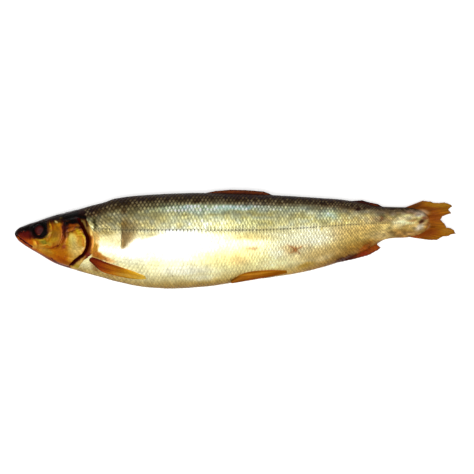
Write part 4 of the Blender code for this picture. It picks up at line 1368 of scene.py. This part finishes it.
def tinted(nodes, links, colour, value, low, high):
    """The colour multiplied by a grey between low and high, as value goes from 0.3 to 0.7."""
    spread = nodes.new("ShaderNodeMapRange")
    spread.inputs["From Min"].default_value = 0.3
    spread.inputs["From Max"].default_value = 0.7
    spread.inputs["To Min"].default_value = low
    spread.inputs["To Max"].default_value = high
    links.new(value, spread.inputs["Value"])
    node = nodes.new("ShaderNodeMix")
    node.data_type = "RGBA"
    node.blend_type = "MULTIPLY"
    node.inputs["Factor"].default_value = 1
    links.new(colour, node.inputs["A"])
    links.new(spread.outputs["Result"], node.inputs["B"])
    return node.outputs["Result"]


def bump_node(nodes, links, height, distance, strength, before=None):
    """A bump from a height in units of distance."""
    node = nodes.new("ShaderNodeBump")
    node.inputs["Strength"].default_value = strength
    node.inputs["Distance"].default_value = distance
    links.new(height, node.inputs["Height"])
    if before is not None:
        links.new(before, node.inputs["Normal"])
    return node.outputs["Normal"]


def set_roughness(nodes, links, shader, uneven, gloss, least):
    """Roughness from uneven, less the painted gloss."""
    shine = math_node(nodes, links, "MULTIPLY", gloss.outputs["Fac"], 0.75)
    rough = math_node(nodes, links, "SUBTRACT", uneven, shine)
    links.new(math_node(nodes, links, "MAXIMUM", rough, least), shader.inputs["Roughness"])


def scaled_skin():
    """Silvery scales: painted colour, growth rings on each scale, oily gloss that varies by scale."""
    made, nodes, links, shader = new_material("scaled_skin")
    paint, scale, gloss = (attribute(nodes, name) for name in ("paint", "scale", "gloss"))
    grain = noise_node(nodes, links, 900, 3)
    smoke = noise_node(nodes, links, 70, 4)
    colour = tinted(nodes, links, paint.outputs["Color"], grain.outputs["Fac"], 0.86, 1.10)
    colour = tinted(nodes, links, colour, smoke.outputs["Fac"], 0.93, 1.05)
    parts = nodes.new("ShaderNodeSeparateXYZ")
    links.new(scale.outputs["Vector"], parts.inputs["Vector"])
    bend = math_node(nodes, links, "MULTIPLY", parts.outputs["Y"], parts.outputs["Y"])
    # a dark pore in the middle of each scale on the lateral line
    behind = math_node(nodes, links, "SUBTRACT", parts.outputs["X"], 0.45)
    behind = math_node(nodes, links, "MULTIPLY", behind, behind)
    off = math_node(nodes, links, "MULTIPLY", parts.outputs["Z"], parts.outputs["Z"])
    off = math_node(nodes, links, "MULTIPLY_ADD", off, 0.30, behind)
    dot = math_node(nodes, links, "MULTIPLY_ADD", off, -26.0, 1.45)
    dot = math_node(nodes, links, "MINIMUM", math_node(nodes, links, "MAXIMUM", dot, 0.0), 0.9)
    pores = nodes.new("ShaderNodeMix")
    pores.data_type = "RGBA"
    pores.inputs["B"].default_value = (0.065, 0.05, 0.024, 1)
    links.new(dot, pores.inputs["Factor"])
    links.new(colour, pores.inputs["A"])
    links.new(pores.outputs["Result"], shader.inputs["Base Color"])
    radius = math_node(nodes, links, "MULTIPLY_ADD", bend, 0.5, parts.outputs["X"])
    rings = math_node(nodes, links, "SINE", math_node(nodes, links, "MULTIPLY", radius, 42.0), 0.0)
    normal = bump_node(nodes, links, rings, 0.00002, 0.35)
    normal = bump_node(nodes, links, grain.outputs["Fac"], 0.0001, 0.4, normal)
    links.new(normal, shader.inputs["Normal"])
    uneven = math_node(nodes, links, "MULTIPLY_ADD", smoke.outputs["Fac"], 0.30, 0.72)
    set_roughness(nodes, links, shader, uneven, gloss, 0.16)
    shader.inputs["Metallic"].default_value = 0.4
    shader.inputs["IOR"].default_value = 1.33
    shader.inputs["Specular IOR Level"].default_value = 0.32
    return made


def smoked_skin(name, specular, grain_scale, fine):
    """Bare oily skin, of the head, eyes or fins: painted colour, mottled smoke and fine wrinkles."""
    made, nodes, links, shader = new_material(name)
    paint, gloss = (attribute(nodes, each) for each in ("paint", "gloss"))
    grain = noise_node(nodes, links, grain_scale, 4)
    smoke = noise_node(nodes, links, 160, 4)
    colour = tinted(nodes, links, paint.outputs["Color"], grain.outputs["Fac"], 0.84, 1.12)
    colour = tinted(nodes, links, colour, smoke.outputs["Fac"], 0.86, 1.10)
    links.new(colour, shader.inputs["Base Color"])
    normal = bump_node(nodes, links, smoke.outputs["Fac"], 0.0006, 0.5)
    normal = bump_node(nodes, links, grain.outputs["Fac"], fine, 0.5, normal)
    links.new(normal, shader.inputs["Normal"])
    uneven = math_node(nodes, links, "MULTIPLY_ADD", grain.outputs["Fac"], 0.30, 0.62)
    set_roughness(nodes, links, shader, uneven, gloss, 0.10)
    shader.inputs["IOR"].default_value = 1.33
    shader.inputs["Specular IOR Level"].default_value = specular
    shader.inputs["Metallic"].default_value = 0.15
    return made


def floor_material():
    """Plain white, with a barely uneven surface."""
    made, nodes, links, shader = new_material("floor_white")
    grain = noise_node(nodes, links, 40, 3)
    white = nodes.new("ShaderNodeRGB")
    white.outputs[0].default_value = (0.72, 0.72, 0.72, 1)
    colour = tinted(nodes, links, white.outputs[0], grain.outputs["Fac"], 0.99, 1.01)
    links.new(colour, shader.inputs["Base Color"])
    shader.inputs["Roughness"].default_value = 0.8
    shader.inputs["Specular IOR Level"].default_value = 0.1
    shader.inputs["Emission Color"].default_value = (1, 1, 1, 1)
    shader.inputs["Emission Strength"].default_value = 0.45
    return made


# Stage

# The camera, with lengths in metres: at VIEW_HEIGHT above the floor the picture is VIEW_WIDTH wide
LENS, SENSOR = 200, 36
VIEW_WIDTH, VIEW_HEIGHT = 0.3856, 0.014
VIEW_MIDDLE = (0.00107, 0.00162)


def make_floor():
    """A wide white floor, just under the fish."""
    mesh = bpy.data.meshes.new("floor")
    corners = [(-6, -6), (6, -6), (6, 6), (-6, 6)]
    mesh.from_pydata([(x, y, -0.0002) for x, y in corners], [], [(0, 1, 2, 3)])
    mesh.materials.append(floor_material())
    floor = bpy.data.objects.new("floor", mesh)
    bpy.context.scene.collection.objects.link(floor)


def add_light(name, place, size, power):
    """A soft square light that faces the fish."""
    light = bpy.data.lights.new(name, "AREA")
    light.shape = "SQUARE"
    light.size = size
    light.energy = power
    made = bpy.data.objects.new(name, light)
    made.location = place
    made.rotation_euler = (-made.location).to_track_quat("-Z", "Y").to_euler()
    bpy.context.scene.collection.objects.link(made)


def make_stage():
    """Floor, soft light, pale surroundings and the camera straight above."""
    make_floor()
    add_light("key", (-0.12, -0.3, 3.0), 1.5, 90)
    world = bpy.data.worlds.new("surroundings")
    world.use_nodes = True
    sky = world.node_tree.nodes["Background"]
    sky.inputs["Color"].default_value = (1, 1, 1, 1)
    sky.inputs["Strength"].default_value = 0.3
    bpy.context.scene.world = world
    lens = bpy.data.cameras.new("camera")
    lens.lens = LENS
    lens.sensor_width = SENSOR
    lens.clip_end = 50
    camera = bpy.data.objects.new("camera", lens)
    camera.location = (*VIEW_MIDDLE, VIEW_WIDTH / SENSOR * LENS + VIEW_HEIGHT)
    bpy.context.scene.collection.objects.link(camera)
    bpy.context.scene.camera = camera
    bpy.context.scene.view_settings.view_transform = "Standard"
    bpy.context.scene.view_settings.look = "None"


def main():
    skin = scaled_skin()
    make_flank("flank_left", 1, skin, 3)
    make_flank("flank_right", -1, skin, 8)
    make_head(smoked_skin("head_skin", 0.2, 700, 0.00012), 5)
    eye = smoked_skin("eye_skin", 0.15, 500, 0.00003)
    make_eye("eye_left", 1, eye, 61)
    make_eye("eye_right", -1, eye, 71)
    make_fins(smoked_skin("fin_skin", 0.1, 900, 0.0001))
    make_stage()


main()
